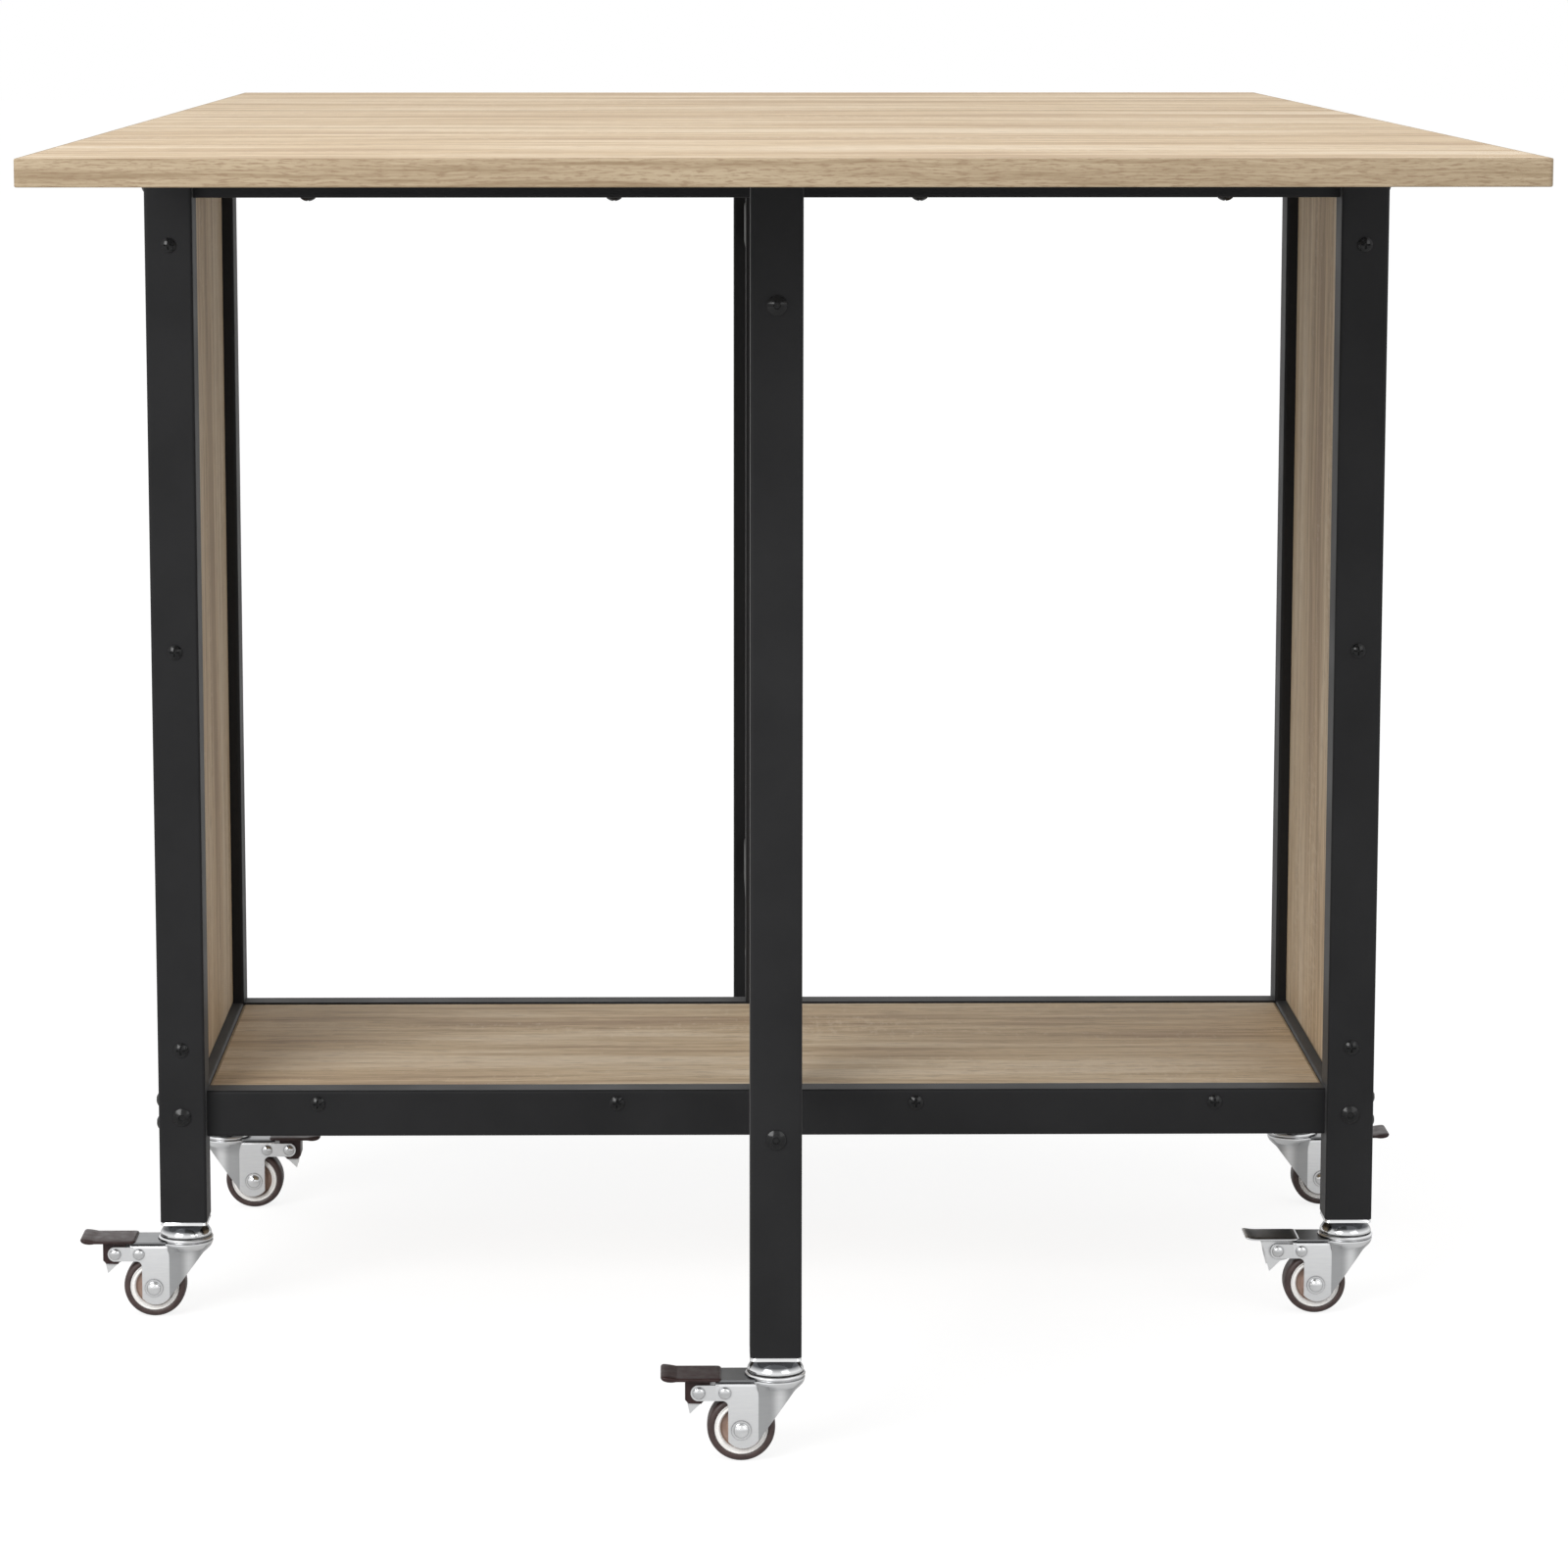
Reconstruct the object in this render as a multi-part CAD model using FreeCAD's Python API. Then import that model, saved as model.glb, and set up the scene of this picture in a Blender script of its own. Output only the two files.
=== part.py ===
import FreeCAD, Part
import math
import os
from FreeCAD import Vector

# A folding dining table: a narrow steel frame on castors with a fixed centre board,
# two drop leaves on butt hinges, and a swing-out gate leg that carries each leaf.
# Millimetres, X to the right, Y away from the viewer, Z up, origin on the floor at the centre.

# Table top
TOP_WIDTH = 800.0
TOP_DEPTH = 1400.0
TABLE_HEIGHT = 765.0
BOARD_THICKNESS = 15.0
CENTRE_OVERHANG = 30.0
SEAM_GAP = 2.2

# Frame of square tube
FRAME_WIDTH = 780.0
FRAME_DEPTH = 320.0
POST_SIZE = 30.0
TUBE_WALL = 1.2
TUBE_CORNER = 2.0
END_PLATE = 3.0
RAIL_DEPTH = 20.0
RAIL_HEIGHT = 30.0
SHELF_RAIL_BOTTOM = 118.0
CENTRE_POST_SIZE = 20.0

# Boards held in the frame
PANEL_THICKNESS = 15.0
SHELF_THICKNESS = 15.0
SHELF_DROP = 1.0

# Gates
GATE_LEG_SIZE = 30.0
GATE_REACH = 301.0
ARM_WIDTH = 15.0
ARM_HEIGHT = 30.0
STILE_DIAMETER = 16.0
STILE_WALL = 1.6
STILE_PLUG = 6.0
FOLD_CLEARANCE = 1.4
LEAF_CLEARANCE = 0.4
CAP_THICKNESS = 4.0
CAP_PLUG = 12.0
CAP_CLEARANCE = 0.2

# Gate brackets and their pivot pins
BRACKET_THICKNESS = 3.0
BRACKET_HEIGHT = 26.0
BRACKET_PLAY = 0.2
BRACKET_GAP = 4.3
PIN_DIAMETER = 8.0
PIN_HEAD_DIAMETER = 12.0
PIN_HEAD_HEIGHT = 2.0
PIN_DEPTH = 12.0
RUNNING_FIT = 0.06

# Butt hinges under the seams
HINGE_WIDTH = 50.0
HINGE_WING = 2.0
HINGE_SETBACK = 4.0
HINGE_EDGE_DISTANCE = 50.0
KNUCKLE_RADIUS = 2.8
KNUCKLE_PLAY = 0.3
PIN_DROP = 3.0
HINGE_PIN_DIAMETER = 3.0
MIDDLE_KNUCKLE = 20.0
HINGE_SCREW_SPACING = 30.0

# Fasteners: head diameter, head height, shank diameter; the shares are of a head's diameter and height
BOLT_HEAD, BOLT_HEAD_HEIGHT, BOLT_SHANK = 11.6, 2.6, 6.0
SIDE_BOLT_HEAD, SIDE_BOLT_HEAD_HEIGHT, SIDE_BOLT_SHANK = 10.0, 3.4, 5.0
SCREW_HEAD, SCREW_HEAD_HEIGHT, SCREW_SHANK = 9.4, 2.6, 4.0
SMALL_HEAD, SMALL_HEAD_HEIGHT, SMALL_SHANK = 6.4, 1.8, 3.0
HOLE_CLEARANCE = 0.1
SOCKET_SIZE = 4.0
SLOT_WIDTH = 1.1
SLOT_SHARE = 0.58
RIM_SHARE = 0.3
DRIVE_DEPTH = 1.2
BOLT_BITE = 12.0
SCREW_BITE = 24.0
TOP_SCREW_BITE = 10.0
SMALL_SCREW_LENGTH = 11.0
SIDE_BOLT_SPACING = 15.0
PANEL_SCREW_MARGIN = 29.0
RAIL_SCREW_SPACING = 192.5

# Castors, each swivelling about its post's centre line
CASTOR_HEIGHT = 64.0
CASTOR_PLATE = 2.5
STEM_DIAMETER = 10.0
STEM_LENGTH = 20.0
RACE_DIAMETER = 34.0
RACE_WALL = 1.8
CUP_TOP = 54.6
CUP_FLOOR = 51.0
CUP_BOTTOM = 49.0
RACE_PLAY = 0.4
KINGPIN_DIAMETER = 8.0
KINGPIN_FLANGE = 13.0
KINGPIN_FLANGE_HEIGHT = 2.0
KINGPIN_PLAY = 0.3
WHEEL_DIAMETER = 40.0
WHEEL_WIDTH = 17.0
WHEEL_TRAIL = 20.0
WHEEL_SIDE_PLAY = 1.5
WHEEL_FORK_PLAY = 1.5
TREAD_THICKNESS = 4.2
TREAD_ROUND = 2.0
TREAD_BOND = 0.05
CORE_RIM = 3.4
CORE_WEB = 7.0
HUB_DIAMETER = 15.0
FORK_SHEET = 2.0
FORK_LUG = 10.0
FORK_ROOF = 47.0
ROOF_LENGTH = 30.0
FORK_BLEND = 6.0
AXLE_DIAMETER = 6.0
AXLE_HEAD = 10.0
AXLE_HEAD_HEIGHT = 3.0
ARM_HALF_HEIGHT = 6.0
RIVET_HEIGHT = 41.0
RIVET_NEAR = 29.5
RIVET_FAR = 44.7
RIVET_SHANK = 4.0
RIVET_HEAD = 7.2
RIVET_HEAD_HEIGHT = 2.2

# Brake pedal, one moulding that turns on the far rivet
PEDAL_REACH = 67.0
PEDAL_WIDTH = 30.0
PEDAL_THICKNESS = 3.5
PEDAL_LIFT = 0.5
PEDAL_LIP = 1.3
PEDAL_LIP_LENGTH = 7.0
BRAKE_SIDE_PLAY = 0.3
BRAKE_BLOCK_BACK = 8.3
BRAKE_BLOCK_FRONT = 7.2
BRAKE_BLOCK_TOE = 6.3
BRAKE_BLOCK_DROP = 10.4

# Heights and places that follow from these
UNDERSIDE = TABLE_HEIGHT - BOARD_THICKNESS
TOP_RAIL_BOTTOM = UNDERSIDE - RAIL_HEIGHT
SHELF_RAIL_TOP = SHELF_RAIL_BOTTOM + RAIL_HEIGHT
SHELF_TOP = SHELF_RAIL_TOP - SHELF_DROP
SHELF_MIDDLE = SHELF_TOP - SHELF_THICKNESS / 2
POST_X = (FRAME_WIDTH - POST_SIZE) / 2
POST_Y = (FRAME_DEPTH - POST_SIZE) / 2
BAY_X = FRAME_WIDTH / 2 - POST_SIZE
BAY_Y = FRAME_DEPTH / 2 - POST_SIZE
RAIL_FACE = BAY_Y + RAIL_DEPTH
RAIL_Y = BAY_Y + RAIL_DEPTH / 2
CENTRE_BOARD_DEPTH = FRAME_DEPTH + 2 * CENTRE_OVERHANG
SEAM_Y = (CENTRE_BOARD_DEPTH + SEAM_GAP) / 2
PIVOT_Y = RAIL_FACE + SCREW_HEAD_HEIGHT + FOLD_CLEARANCE + GATE_LEG_SIZE / 2
GATE_LEG_Y = PIVOT_Y + GATE_REACH
GATE_CAP_TOP = UNDERSIDE - LEAF_CLEARANCE
GATE_LEG_TOP = GATE_CAP_TOP - CAP_THICKNESS
ARM_INSET = BRACKET_GAP + BRACKET_HEIGHT + BRACKET_PLAY + ARM_HEIGHT / 2
UPPER_ARM_HEIGHT = TOP_RAIL_BOTTOM - ARM_INSET
LOWER_ARM_HEIGHT = SHELF_RAIL_TOP + ARM_INSET
STILE_BOTTOM = LOWER_ARM_HEIGHT - ARM_HEIGHT / 2
STILE_TOP = UPPER_ARM_HEIGHT + ARM_HEIGHT / 2
HINGE_AXIS_Z = UNDERSIDE - PIN_DROP
HINGE_X = TOP_WIDTH / 2 - HINGE_EDGE_DISTANCE
FORK_GAP = WHEEL_WIDTH + 2 * WHEEL_SIDE_PLAY
FORK_HALF = FORK_GAP / 2 + FORK_SHEET
AXLE_Z = WHEEL_DIAMETER / 2
LEFT_RIGHT = {"left": -1, "right": 1}
FRONT_REAR = {"front": -1, "rear": 1}

X_AXIS, Y_AXIS, Z_AXIS = Vector(1, 0, 0), Vector(0, 1, 0), Vector(0, 0, 1)
ORIGIN = Vector(0, 0, 0)
nodes = {}


def block(low, high):
    """A plain box between two opposite corners."""
    size = Vector(*high) - Vector(*low)
    return Part.makeBox(size.x, size.y, size.z, Vector(*low))


def bar(size_x, size_y, length, corner):
    """A solid bar along +Z from the origin, centred on X and Y, with rounded long corners."""
    solid = block((-size_x / 2, -size_y / 2, 0), (size_x / 2, size_y / 2, length))
    uprights = [edge for edge in solid.Edges if abs(edge.tangentAt(edge.FirstParameter).z) > 0.5]
    return solid.makeFillet(corner, uprights)


def tube(size_x, size_y, length, low_plate=0.0, high_plate=0.0):
    """A rectangular tube along +Z with rounded corners and a welded plate at each end that asks for one."""
    outer = bar(size_x, size_y, length, TUBE_CORNER)
    hollow = length - low_plate - high_plate
    inner = bar(size_x - 2 * TUBE_WALL, size_y - 2 * TUBE_WALL, hollow, TUBE_CORNER - TUBE_WALL)
    return outer.cut(inner.translated(Vector(0, 0, low_plate)))


def along_x(shape):
    """Turns a piece made along +Z to lie along +X, its X side upright."""
    return shape.rotated(ORIGIN, Y_AXIS, 90)


def along_y(shape):
    """Turns a piece made along +Z to lie along +Y, its Y side upright."""
    return shape.rotated(ORIGIN, X_AXIS, -90)


def outline_plate(points, thickness):
    """A plate in the XZ plane from a closed outline; a pair of points is an arc's middle and end."""
    edges = []
    start = points[0]
    for step in points[1:] + [points[0]]:
        if isinstance(step[0], tuple):
            middle, end = step
            arc = [Vector(p[0], 0, p[1]) for p in (start, middle, end)]
            edges.append(Part.Arc(*arc).toShape())
        else:
            end = step
            edges.append(Part.makeLine(Vector(start[0], 0, start[1]), Vector(end[0], 0, end[1])))
        start = end
    return Part.Face(Part.Wire(edges)).extrude(Vector(0, thickness, 0))


def turned(profile):
    """A solid of revolution about Z from a closed outline of radius and height."""
    points = [Vector(radius, 0, height) for radius, height in profile]
    face = Part.Face(Part.makePolygon(points + [points[0]]))
    return face.revolve(ORIGIN, Z_AXIS, 360)


def dome(diameter, height):
    """A round-topped head on the XY plane: a short cylinder under a spherical cap."""
    radius = diameter / 2
    cap = height * (1 - RIM_SHARE)
    sphere_radius = (radius**2 + cap**2) / (2 * cap)
    sphere = Part.makeSphere(sphere_radius, Vector(0, 0, height - sphere_radius))
    return sphere.common(Part.makeCylinder(radius, height))


def point_towards(shape, at, outward):
    """Moves a piece made along +Z so that its +Z looks outward from the point given."""
    turn = FreeCAD.Rotation(Z_AXIS, Vector(*outward))
    placed = shape.copy()
    placed.Placement = FreeCAD.Placement(Vector(*at), turn)
    return placed


def fastener(head, head_height, shank, length, at, outward, socket=False):
    """A screw whose head seats at a point: returns the screw and the hole that it needs."""
    head_solid = dome(head, head_height)
    if socket:
        corner = SOCKET_SIZE / math.sqrt(3)
        angles = [math.radians(60 * step) for step in range(7)]
        ring = Part.makePolygon([Vector(corner * math.cos(a), corner * math.sin(a), 0) for a in angles])
        drive = Part.Face(ring).extrude(Vector(0, 0, DRIVE_DEPTH))
    else:
        half = head * SLOT_SHARE / 2
        flat = block((-half, -SLOT_WIDTH / 2, 0), (half, SLOT_WIDTH / 2, DRIVE_DEPTH))
        drive = flat.fuse(flat.rotated(ORIGIN, Z_AXIS, 90))
    head_solid = head_solid.cut(drive.translated(Vector(0, 0, head_height - DRIVE_DEPTH)))
    screw = head_solid.fuse(Part.makeCylinder(shank / 2, length, Vector(0, 0, -length)))
    depth = length + HOLE_CLEARANCE
    hole = Part.makeCylinder(shank / 2 + HOLE_CLEARANCE, depth, Vector(0, 0, -depth))
    return point_towards(screw, at, outward), point_towards(hole, at, outward)


def bolt(at, outward, length):
    """A large socket bolt."""
    return fastener(BOLT_HEAD, BOLT_HEAD_HEIGHT, BOLT_SHANK, length, at, outward, socket=True)


def side_bolt(at, outward, length):
    """A slimmer socket bolt, used on the outer sides of the posts."""
    return fastener(SIDE_BOLT_HEAD, SIDE_BOLT_HEAD_HEIGHT, SIDE_BOLT_SHANK, length, at, outward, socket=True)


def screw(at, outward, length):
    """A cross-slotted pan-head wood screw."""
    return fastener(SCREW_HEAD, SCREW_HEAD_HEIGHT, SCREW_SHANK, length, at, outward)


def small_screw(at, outward):
    """A short cross-slotted screw for hinges and brackets."""
    return fastener(SMALL_HEAD, SMALL_HEAD_HEIGHT, SMALL_SHANK, SMALL_SCREW_LENGTH, at, outward)


def drilled(shape, *groups):
    """The piece with a hole for each fastener that reaches it."""
    holes = [hole for group in groups for _, hole in group if hole.BoundBox.intersect(shape.BoundBox)]
    return shape.cut(holes) if holes else shape


def put(name, *shapes):
    """Keeps one or more separate solids under a node's name."""
    solids = [solid for shape in shapes for solid in shape.Solids]
    nodes[name] = solids[0] if len(solids) == 1 else Part.makeCompound(solids)


def solids_of(group):
    """The screws of a group of fasteners, without their holes."""
    return [solid for solid, _ in group]


def half_turned(shape):
    """The same piece on the opposite side of the table."""
    return shape.rotated(ORIGIN, Z_AXIS, 180)


def half_turned_group(group):
    """A group of fasteners and holes on the opposite side of the table."""
    return [(half_turned(solid), half_turned(hole)) for solid, hole in group]


# Fasteners of the frame, which give the places of all its holes
RAIL_HEIGHTS = (SHELF_RAIL_BOTTOM + RAIL_HEIGHT / 2, TOP_RAIL_BOTTOM + RAIL_HEIGHT / 2)
PANEL_LOW = SHELF_RAIL_TOP + PANEL_SCREW_MARGIN
PANEL_HIGH = TOP_RAIL_BOTTOM - PANEL_SCREW_MARGIN
PANEL_HEIGHTS = (PANEL_LOW, (PANEL_LOW + PANEL_HIGH) / 2, PANEL_HIGH)
RAIL_SCREW_X = [RAIL_SCREW_SPACING * step for step in (-1.5, -0.5, 0.5, 1.5)]
BOLT_LENGTH = POST_SIZE + BOLT_BITE
frame_bolts, panel_screws, rail_screws = [], [], []
for facing in FRONT_REAR.values():
    for side in LEFT_RIGHT.values():
        face = (side * POST_X, facing * FRAME_DEPTH / 2)
        for height in RAIL_HEIGHTS:
            frame_bolts.append(bolt((*face, height), (0, facing, 0), BOLT_LENGTH))
            for step in (-0.5, 0.5):
                place = (side * FRAME_WIDTH / 2, facing * RAIL_Y, height + step * SIDE_BOLT_SPACING)
                frame_bolts.append(side_bolt(place, (side, 0, 0), BOLT_LENGTH))
        for height in PANEL_HEIGHTS:
            panel_screws.append(screw((*face, height), (0, facing, 0), POST_SIZE + SCREW_BITE))
    for x in RAIL_SCREW_X:
        into_shelf = (x, facing * RAIL_FACE, SHELF_MIDDLE)
        rail_screws.append(screw(into_shelf, (0, facing, 0), RAIL_DEPTH + SCREW_BITE))
        into_top = (x, facing * RAIL_Y, TOP_RAIL_BOTTOM)
        rail_screws.append(screw(into_top, (0, 0, -1), RAIL_HEIGHT + TOP_SCREW_BITE))

# Gate brackets: an angle plate on the centre post with a rounded ear that holds the pivot pin
EAR_REACH = PIVOT_Y - RAIL_FACE


def bracket_at(height, up):
    """One front bracket, its ear's near face at a height, its plate rising (1) or hanging (-1)."""
    half = CENTRE_POST_SIZE / 2
    plate = block((-half, -BRACKET_THICKNESS, 0), (half, 0, BRACKET_HEIGHT))
    ear = block((-half, -EAR_REACH, 0), (half, 0, BRACKET_THICKNESS))
    ear = ear.fuse(Part.makeCylinder(half, BRACKET_THICKNESS, Vector(0, -EAR_REACH, 0)))
    bore = Part.makeCylinder(PIN_DIAMETER / 2 + RUNNING_FIT, BRACKET_THICKNESS, Vector(0, -EAR_REACH, 0))
    angle = plate.fuse(ear).removeSplitter().cut(bore)
    if up < 0:
        angle = angle.rotated(ORIGIN, Y_AXIS, 180)
    return angle.translated(Vector(0, -RAIL_FACE, height))


def pivot_pin_at(height, up):
    """One front pivot pin: a head beyond the bracket's ear and a shank down into the gate's stile."""
    depth = BRACKET_THICKNESS + BRACKET_PLAY + PIN_DEPTH
    pin = Part.makeCylinder(PIN_DIAMETER / 2, depth, Vector(0, 0, -depth))
    pin = pin.fuse(dome(PIN_HEAD_DIAMETER, PIN_HEAD_HEIGHT))
    if up < 0:
        pin = pin.rotated(ORIGIN, Y_AXIS, 180)
    return pin.translated(Vector(0, -PIVOT_Y, height + up * BRACKET_THICKNESS))


bracket_screws, brackets, pivot_pins = [], [], []
for height, up in ((STILE_TOP + BRACKET_PLAY, 1), (STILE_BOTTOM - BRACKET_PLAY, -1)):
    for x in (-CENTRE_POST_SIZE / 4, CENTRE_POST_SIZE / 4):
        seat = (x, -RAIL_FACE - BRACKET_THICKNESS, height + up * (BRACKET_HEIGHT + BRACKET_THICKNESS) / 2)
        bracket_screws.append(small_screw(seat, (0, -1, 0)))
    brackets.append(drilled(bracket_at(height, up), bracket_screws))
    pivot_pins.append(pivot_pin_at(height, up))
bracket_screws += half_turned_group(bracket_screws)
put("gate_brackets", *brackets, *[half_turned(shape) for shape in brackets])
put("gate_pivot_pins", *pivot_pins, *[half_turned(shape) for shape in pivot_pins])

# Butt hinges: the fixed wing has the two outer knuckles, the leaf's wing has the middle one
WING_DEPTH = CENTRE_OVERHANG - HINGE_SETBACK + SEAM_GAP / 2


def hinge_wing(toward, knuckles, clear):
    """A wing on the pin axis, lying towards +Y or -Y, with its knuckles and room for the other's."""
    low_y, high_y = sorted((0, toward * WING_DEPTH))
    top = PIN_DROP
    plate = block((-HINGE_WIDTH / 2, low_y, top - HINGE_WING), (HINGE_WIDTH / 2, high_y, top))
    for start, end in clear:
        room = Part.makeCylinder(KNUCKLE_RADIUS + KNUCKLE_PLAY, end - start, Vector(start, 0, 0), X_AXIS)
        plate = plate.cut(room)
    for start, end in knuckles:
        plate = plate.fuse(Part.makeCylinder(KNUCKLE_RADIUS, end - start, Vector(start, 0, 0), X_AXIS))
    bore = Part.makeCylinder(
        HINGE_PIN_DIAMETER / 2 + RUNNING_FIT, HINGE_WIDTH, Vector(-HINGE_WIDTH / 2, 0, 0), X_AXIS
    )
    return plate.cut(bore).removeSplitter()


half_middle = MIDDLE_KNUCKLE / 2
half_hinge = HINGE_WIDTH / 2
outer_spans = [
    (-half_hinge, -half_middle - KNUCKLE_PLAY / 2),
    (half_middle + KNUCKLE_PLAY / 2, half_hinge),
]
middle_span = [(-half_middle + KNUCKLE_PLAY / 2, half_middle - KNUCKLE_PLAY / 2)]
outer_room = [(-half_hinge, -half_middle + KNUCKLE_PLAY / 2), (half_middle - KNUCKLE_PLAY / 2, half_hinge)]
middle_room = [(-half_middle - KNUCKLE_PLAY / 2, half_middle + KNUCKLE_PLAY / 2)]
fixed_wing = hinge_wing(1, outer_spans, middle_room)
leaf_wing = hinge_wing(-1, middle_span, outer_room)
hinge_pin = Part.makeCylinder(HINGE_PIN_DIAMETER / 2, HINGE_WIDTH, Vector(-half_hinge, 0, 0), X_AXIS)

fixed_wings, leaf_wings, hinge_pins, fixed_hinge_screws, leaf_hinge_screws = [], [], [], [], []
for x in (-HINGE_X, 0.0, HINGE_X):
    axis = Vector(x, -SEAM_Y, HINGE_AXIS_Z)
    fixed_wings.append(fixed_wing.translated(axis))
    leaf_wings.append(leaf_wing.translated(axis))
    hinge_pins.append(hinge_pin.translated(axis))
    for step in (-0.5, 0.5):
        seat_x = x + step * HINGE_SCREW_SPACING
        wing_face = UNDERSIDE - HINGE_WING
        for toward, group in ((1, fixed_hinge_screws), (-1, leaf_hinge_screws)):
            seat = (seat_x, -SEAM_Y + toward * WING_DEPTH / 2, wing_face)
            group.append(small_screw(seat, (0, 0, -1)))
fixed_wings = [drilled(wing, fixed_hinge_screws) for wing in fixed_wings]
leaf_wings = [drilled(wing, leaf_hinge_screws) for wing in leaf_wings]
fixed_hinge_screws += half_turned_group(fixed_hinge_screws)
put("hinge_fixed_wings", *fixed_wings, *[half_turned(wing) for wing in fixed_wings])
put("hinge_pins", *hinge_pins, *[half_turned(pin) for pin in hinge_pins])

# Fixed centre board and the two leaves
half_width = TOP_WIDTH / 2
centre_board = block(
    (-half_width, -CENTRE_BOARD_DEPTH / 2, UNDERSIDE), (half_width, CENTRE_BOARD_DEPTH / 2, TABLE_HEIGHT)
)
put("centre_board", drilled(centre_board, rail_screws, fixed_hinge_screws))
leaf_board = block(
    (-half_width, -TOP_DEPTH / 2, UNDERSIDE), (half_width, -SEAM_Y - SEAM_GAP / 2, TABLE_HEIGHT)
)
leaf_board = drilled(leaf_board, leaf_hinge_screws)
leaf_hardware = leaf_wings + solids_of(leaf_hinge_screws)
put("front_leaf_board", leaf_board)
put("rear_leaf_board", half_turned(leaf_board))
put("front_leaf_hinge_wings", *leaf_hardware)
put("rear_leaf_hinge_wings", *[half_turned(shape) for shape in leaf_hardware])

# Posts: square tube, open under the board and closed below by a plate with the castor's screw hole
post = tube(POST_SIZE, POST_SIZE, UNDERSIDE - CASTOR_HEIGHT, low_plate=END_PLATE)
post = post.cut(Part.makeCylinder(STEM_DIAMETER / 2 + HOLE_CLEARANCE, END_PLATE))
for front_rear, facing in FRONT_REAR.items():
    for left_right, side in LEFT_RIGHT.items():
        placed = post.translated(Vector(side * POST_X, facing * POST_Y, CASTOR_HEIGHT))
        put(f"{front_rear}_{left_right}_post", drilled(placed, frame_bolts, panel_screws))

# Rails: closed tubes between the posts, front and rear, left and right
long_rail = along_x(tube(RAIL_HEIGHT, RAIL_DEPTH, 2 * BAY_X, END_PLATE, END_PLATE))
side_rail = along_y(tube(POST_SIZE, RAIL_HEIGHT, 2 * BAY_Y, END_PLATE, END_PLATE))
for level, height in zip(("shelf", "top"), RAIL_HEIGHTS):
    long_rails = [
        long_rail.translated(Vector(-BAY_X, facing * RAIL_Y, height)) for facing in FRONT_REAR.values()
    ]
    side_rails = [
        side_rail.translated(Vector(side * POST_X, -BAY_Y, height)) for side in LEFT_RIGHT.values()
    ]
    put(f"{level}_rails", *[drilled(rail, frame_bolts, rail_screws) for rail in long_rails])
    put(f"{level}_side_rails", *[drilled(rail, frame_bolts) for rail in side_rails])

# Centre posts between the rails, which carry the gates
centre_post = tube(CENTRE_POST_SIZE, RAIL_DEPTH, TOP_RAIL_BOTTOM - SHELF_RAIL_TOP)
centre_posts = [
    centre_post.translated(Vector(0, facing * RAIL_Y, SHELF_RAIL_TOP)) for facing in FRONT_REAR.values()
]
put("centre_posts", *[drilled(shape, bracket_screws) for shape in centre_posts])

# Side panels and shelf
for left_right, side in LEFT_RIGHT.items():
    middle = side * POST_X
    panel = block(
        (middle - PANEL_THICKNESS / 2, -BAY_Y, SHELF_RAIL_TOP),
        (middle + PANEL_THICKNESS / 2, BAY_Y, TOP_RAIL_BOTTOM),
    )
    put(f"{left_right}_side_panel", drilled(panel, panel_screws))
shelf = block((-BAY_X, -BAY_Y, SHELF_TOP - SHELF_THICKNESS), (BAY_X, BAY_Y, SHELF_TOP))
put("shelf_board", drilled(shelf, rail_screws))

put("frame_bolts", *solids_of(frame_bolts))
put("wood_screws", *solids_of(panel_screws + rail_screws + bracket_screws + fixed_hinge_screws))

# Gates: a leg, two arms and a round stile that turns on the pivot pins
arm_length = GATE_REACH - GATE_LEG_SIZE / 2
gate_bolts = [
    bolt((0, -GATE_LEG_Y - GATE_LEG_SIZE / 2, height), (0, -1, 0), GATE_LEG_SIZE + BOLT_BITE)
    for height in (LOWER_ARM_HEIGHT, UPPER_ARM_HEIGHT)
]
gate_leg = tube(GATE_LEG_SIZE, GATE_LEG_SIZE, GATE_LEG_TOP - CASTOR_HEIGHT, low_plate=END_PLATE)
gate_leg = gate_leg.cut(Part.makeCylinder(STEM_DIAMETER / 2 + HOLE_CLEARANCE, END_PLATE))
gate_leg = drilled(gate_leg.translated(Vector(0, -GATE_LEG_Y, CASTOR_HEIGHT)), gate_bolts)

cap_plug = GATE_LEG_SIZE - 2 * (TUBE_WALL + CAP_CLEARANCE)
gate_cap = bar(GATE_LEG_SIZE, GATE_LEG_SIZE, CAP_THICKNESS, TUBE_CORNER)
plug = bar(cap_plug, cap_plug, CAP_PLUG, TUBE_CORNER / 2)
gate_cap = gate_cap.fuse(plug.translated(Vector(0, 0, -CAP_PLUG)))
gate_cap = gate_cap.translated(Vector(0, -GATE_LEG_Y, GATE_LEG_TOP))

stile_length = STILE_TOP - STILE_BOTTOM
stile = Part.makeCylinder(STILE_DIAMETER / 2, stile_length)
hollow = Part.makeCylinder(
    STILE_DIAMETER / 2 - STILE_WALL, stile_length - 2 * STILE_PLUG, Vector(0, 0, STILE_PLUG)
)
stile = stile.cut(hollow).cut(Part.makeCylinder(PIN_DIAMETER / 2 + RUNNING_FIT, stile_length))
stile = stile.translated(Vector(0, -PIVOT_Y, STILE_BOTTOM))

gate_arm = along_y(tube(ARM_WIDTH, ARM_HEIGHT, arm_length, low_plate=END_PLATE))
stile_end = Vector(0, arm_length, -ARM_HEIGHT / 2)
stile_room = Part.makeCylinder(STILE_DIAMETER / 2 + RUNNING_FIT, ARM_HEIGHT, stile_end)
gate_arm = gate_arm.cut(stile_room)
gate_arms = []
for height in (LOWER_ARM_HEIGHT, UPPER_ARM_HEIGHT):
    placed = gate_arm.translated(Vector(0, -GATE_LEG_Y + GATE_LEG_SIZE / 2, height))
    gate_arms.append(drilled(placed, gate_bolts))

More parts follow.
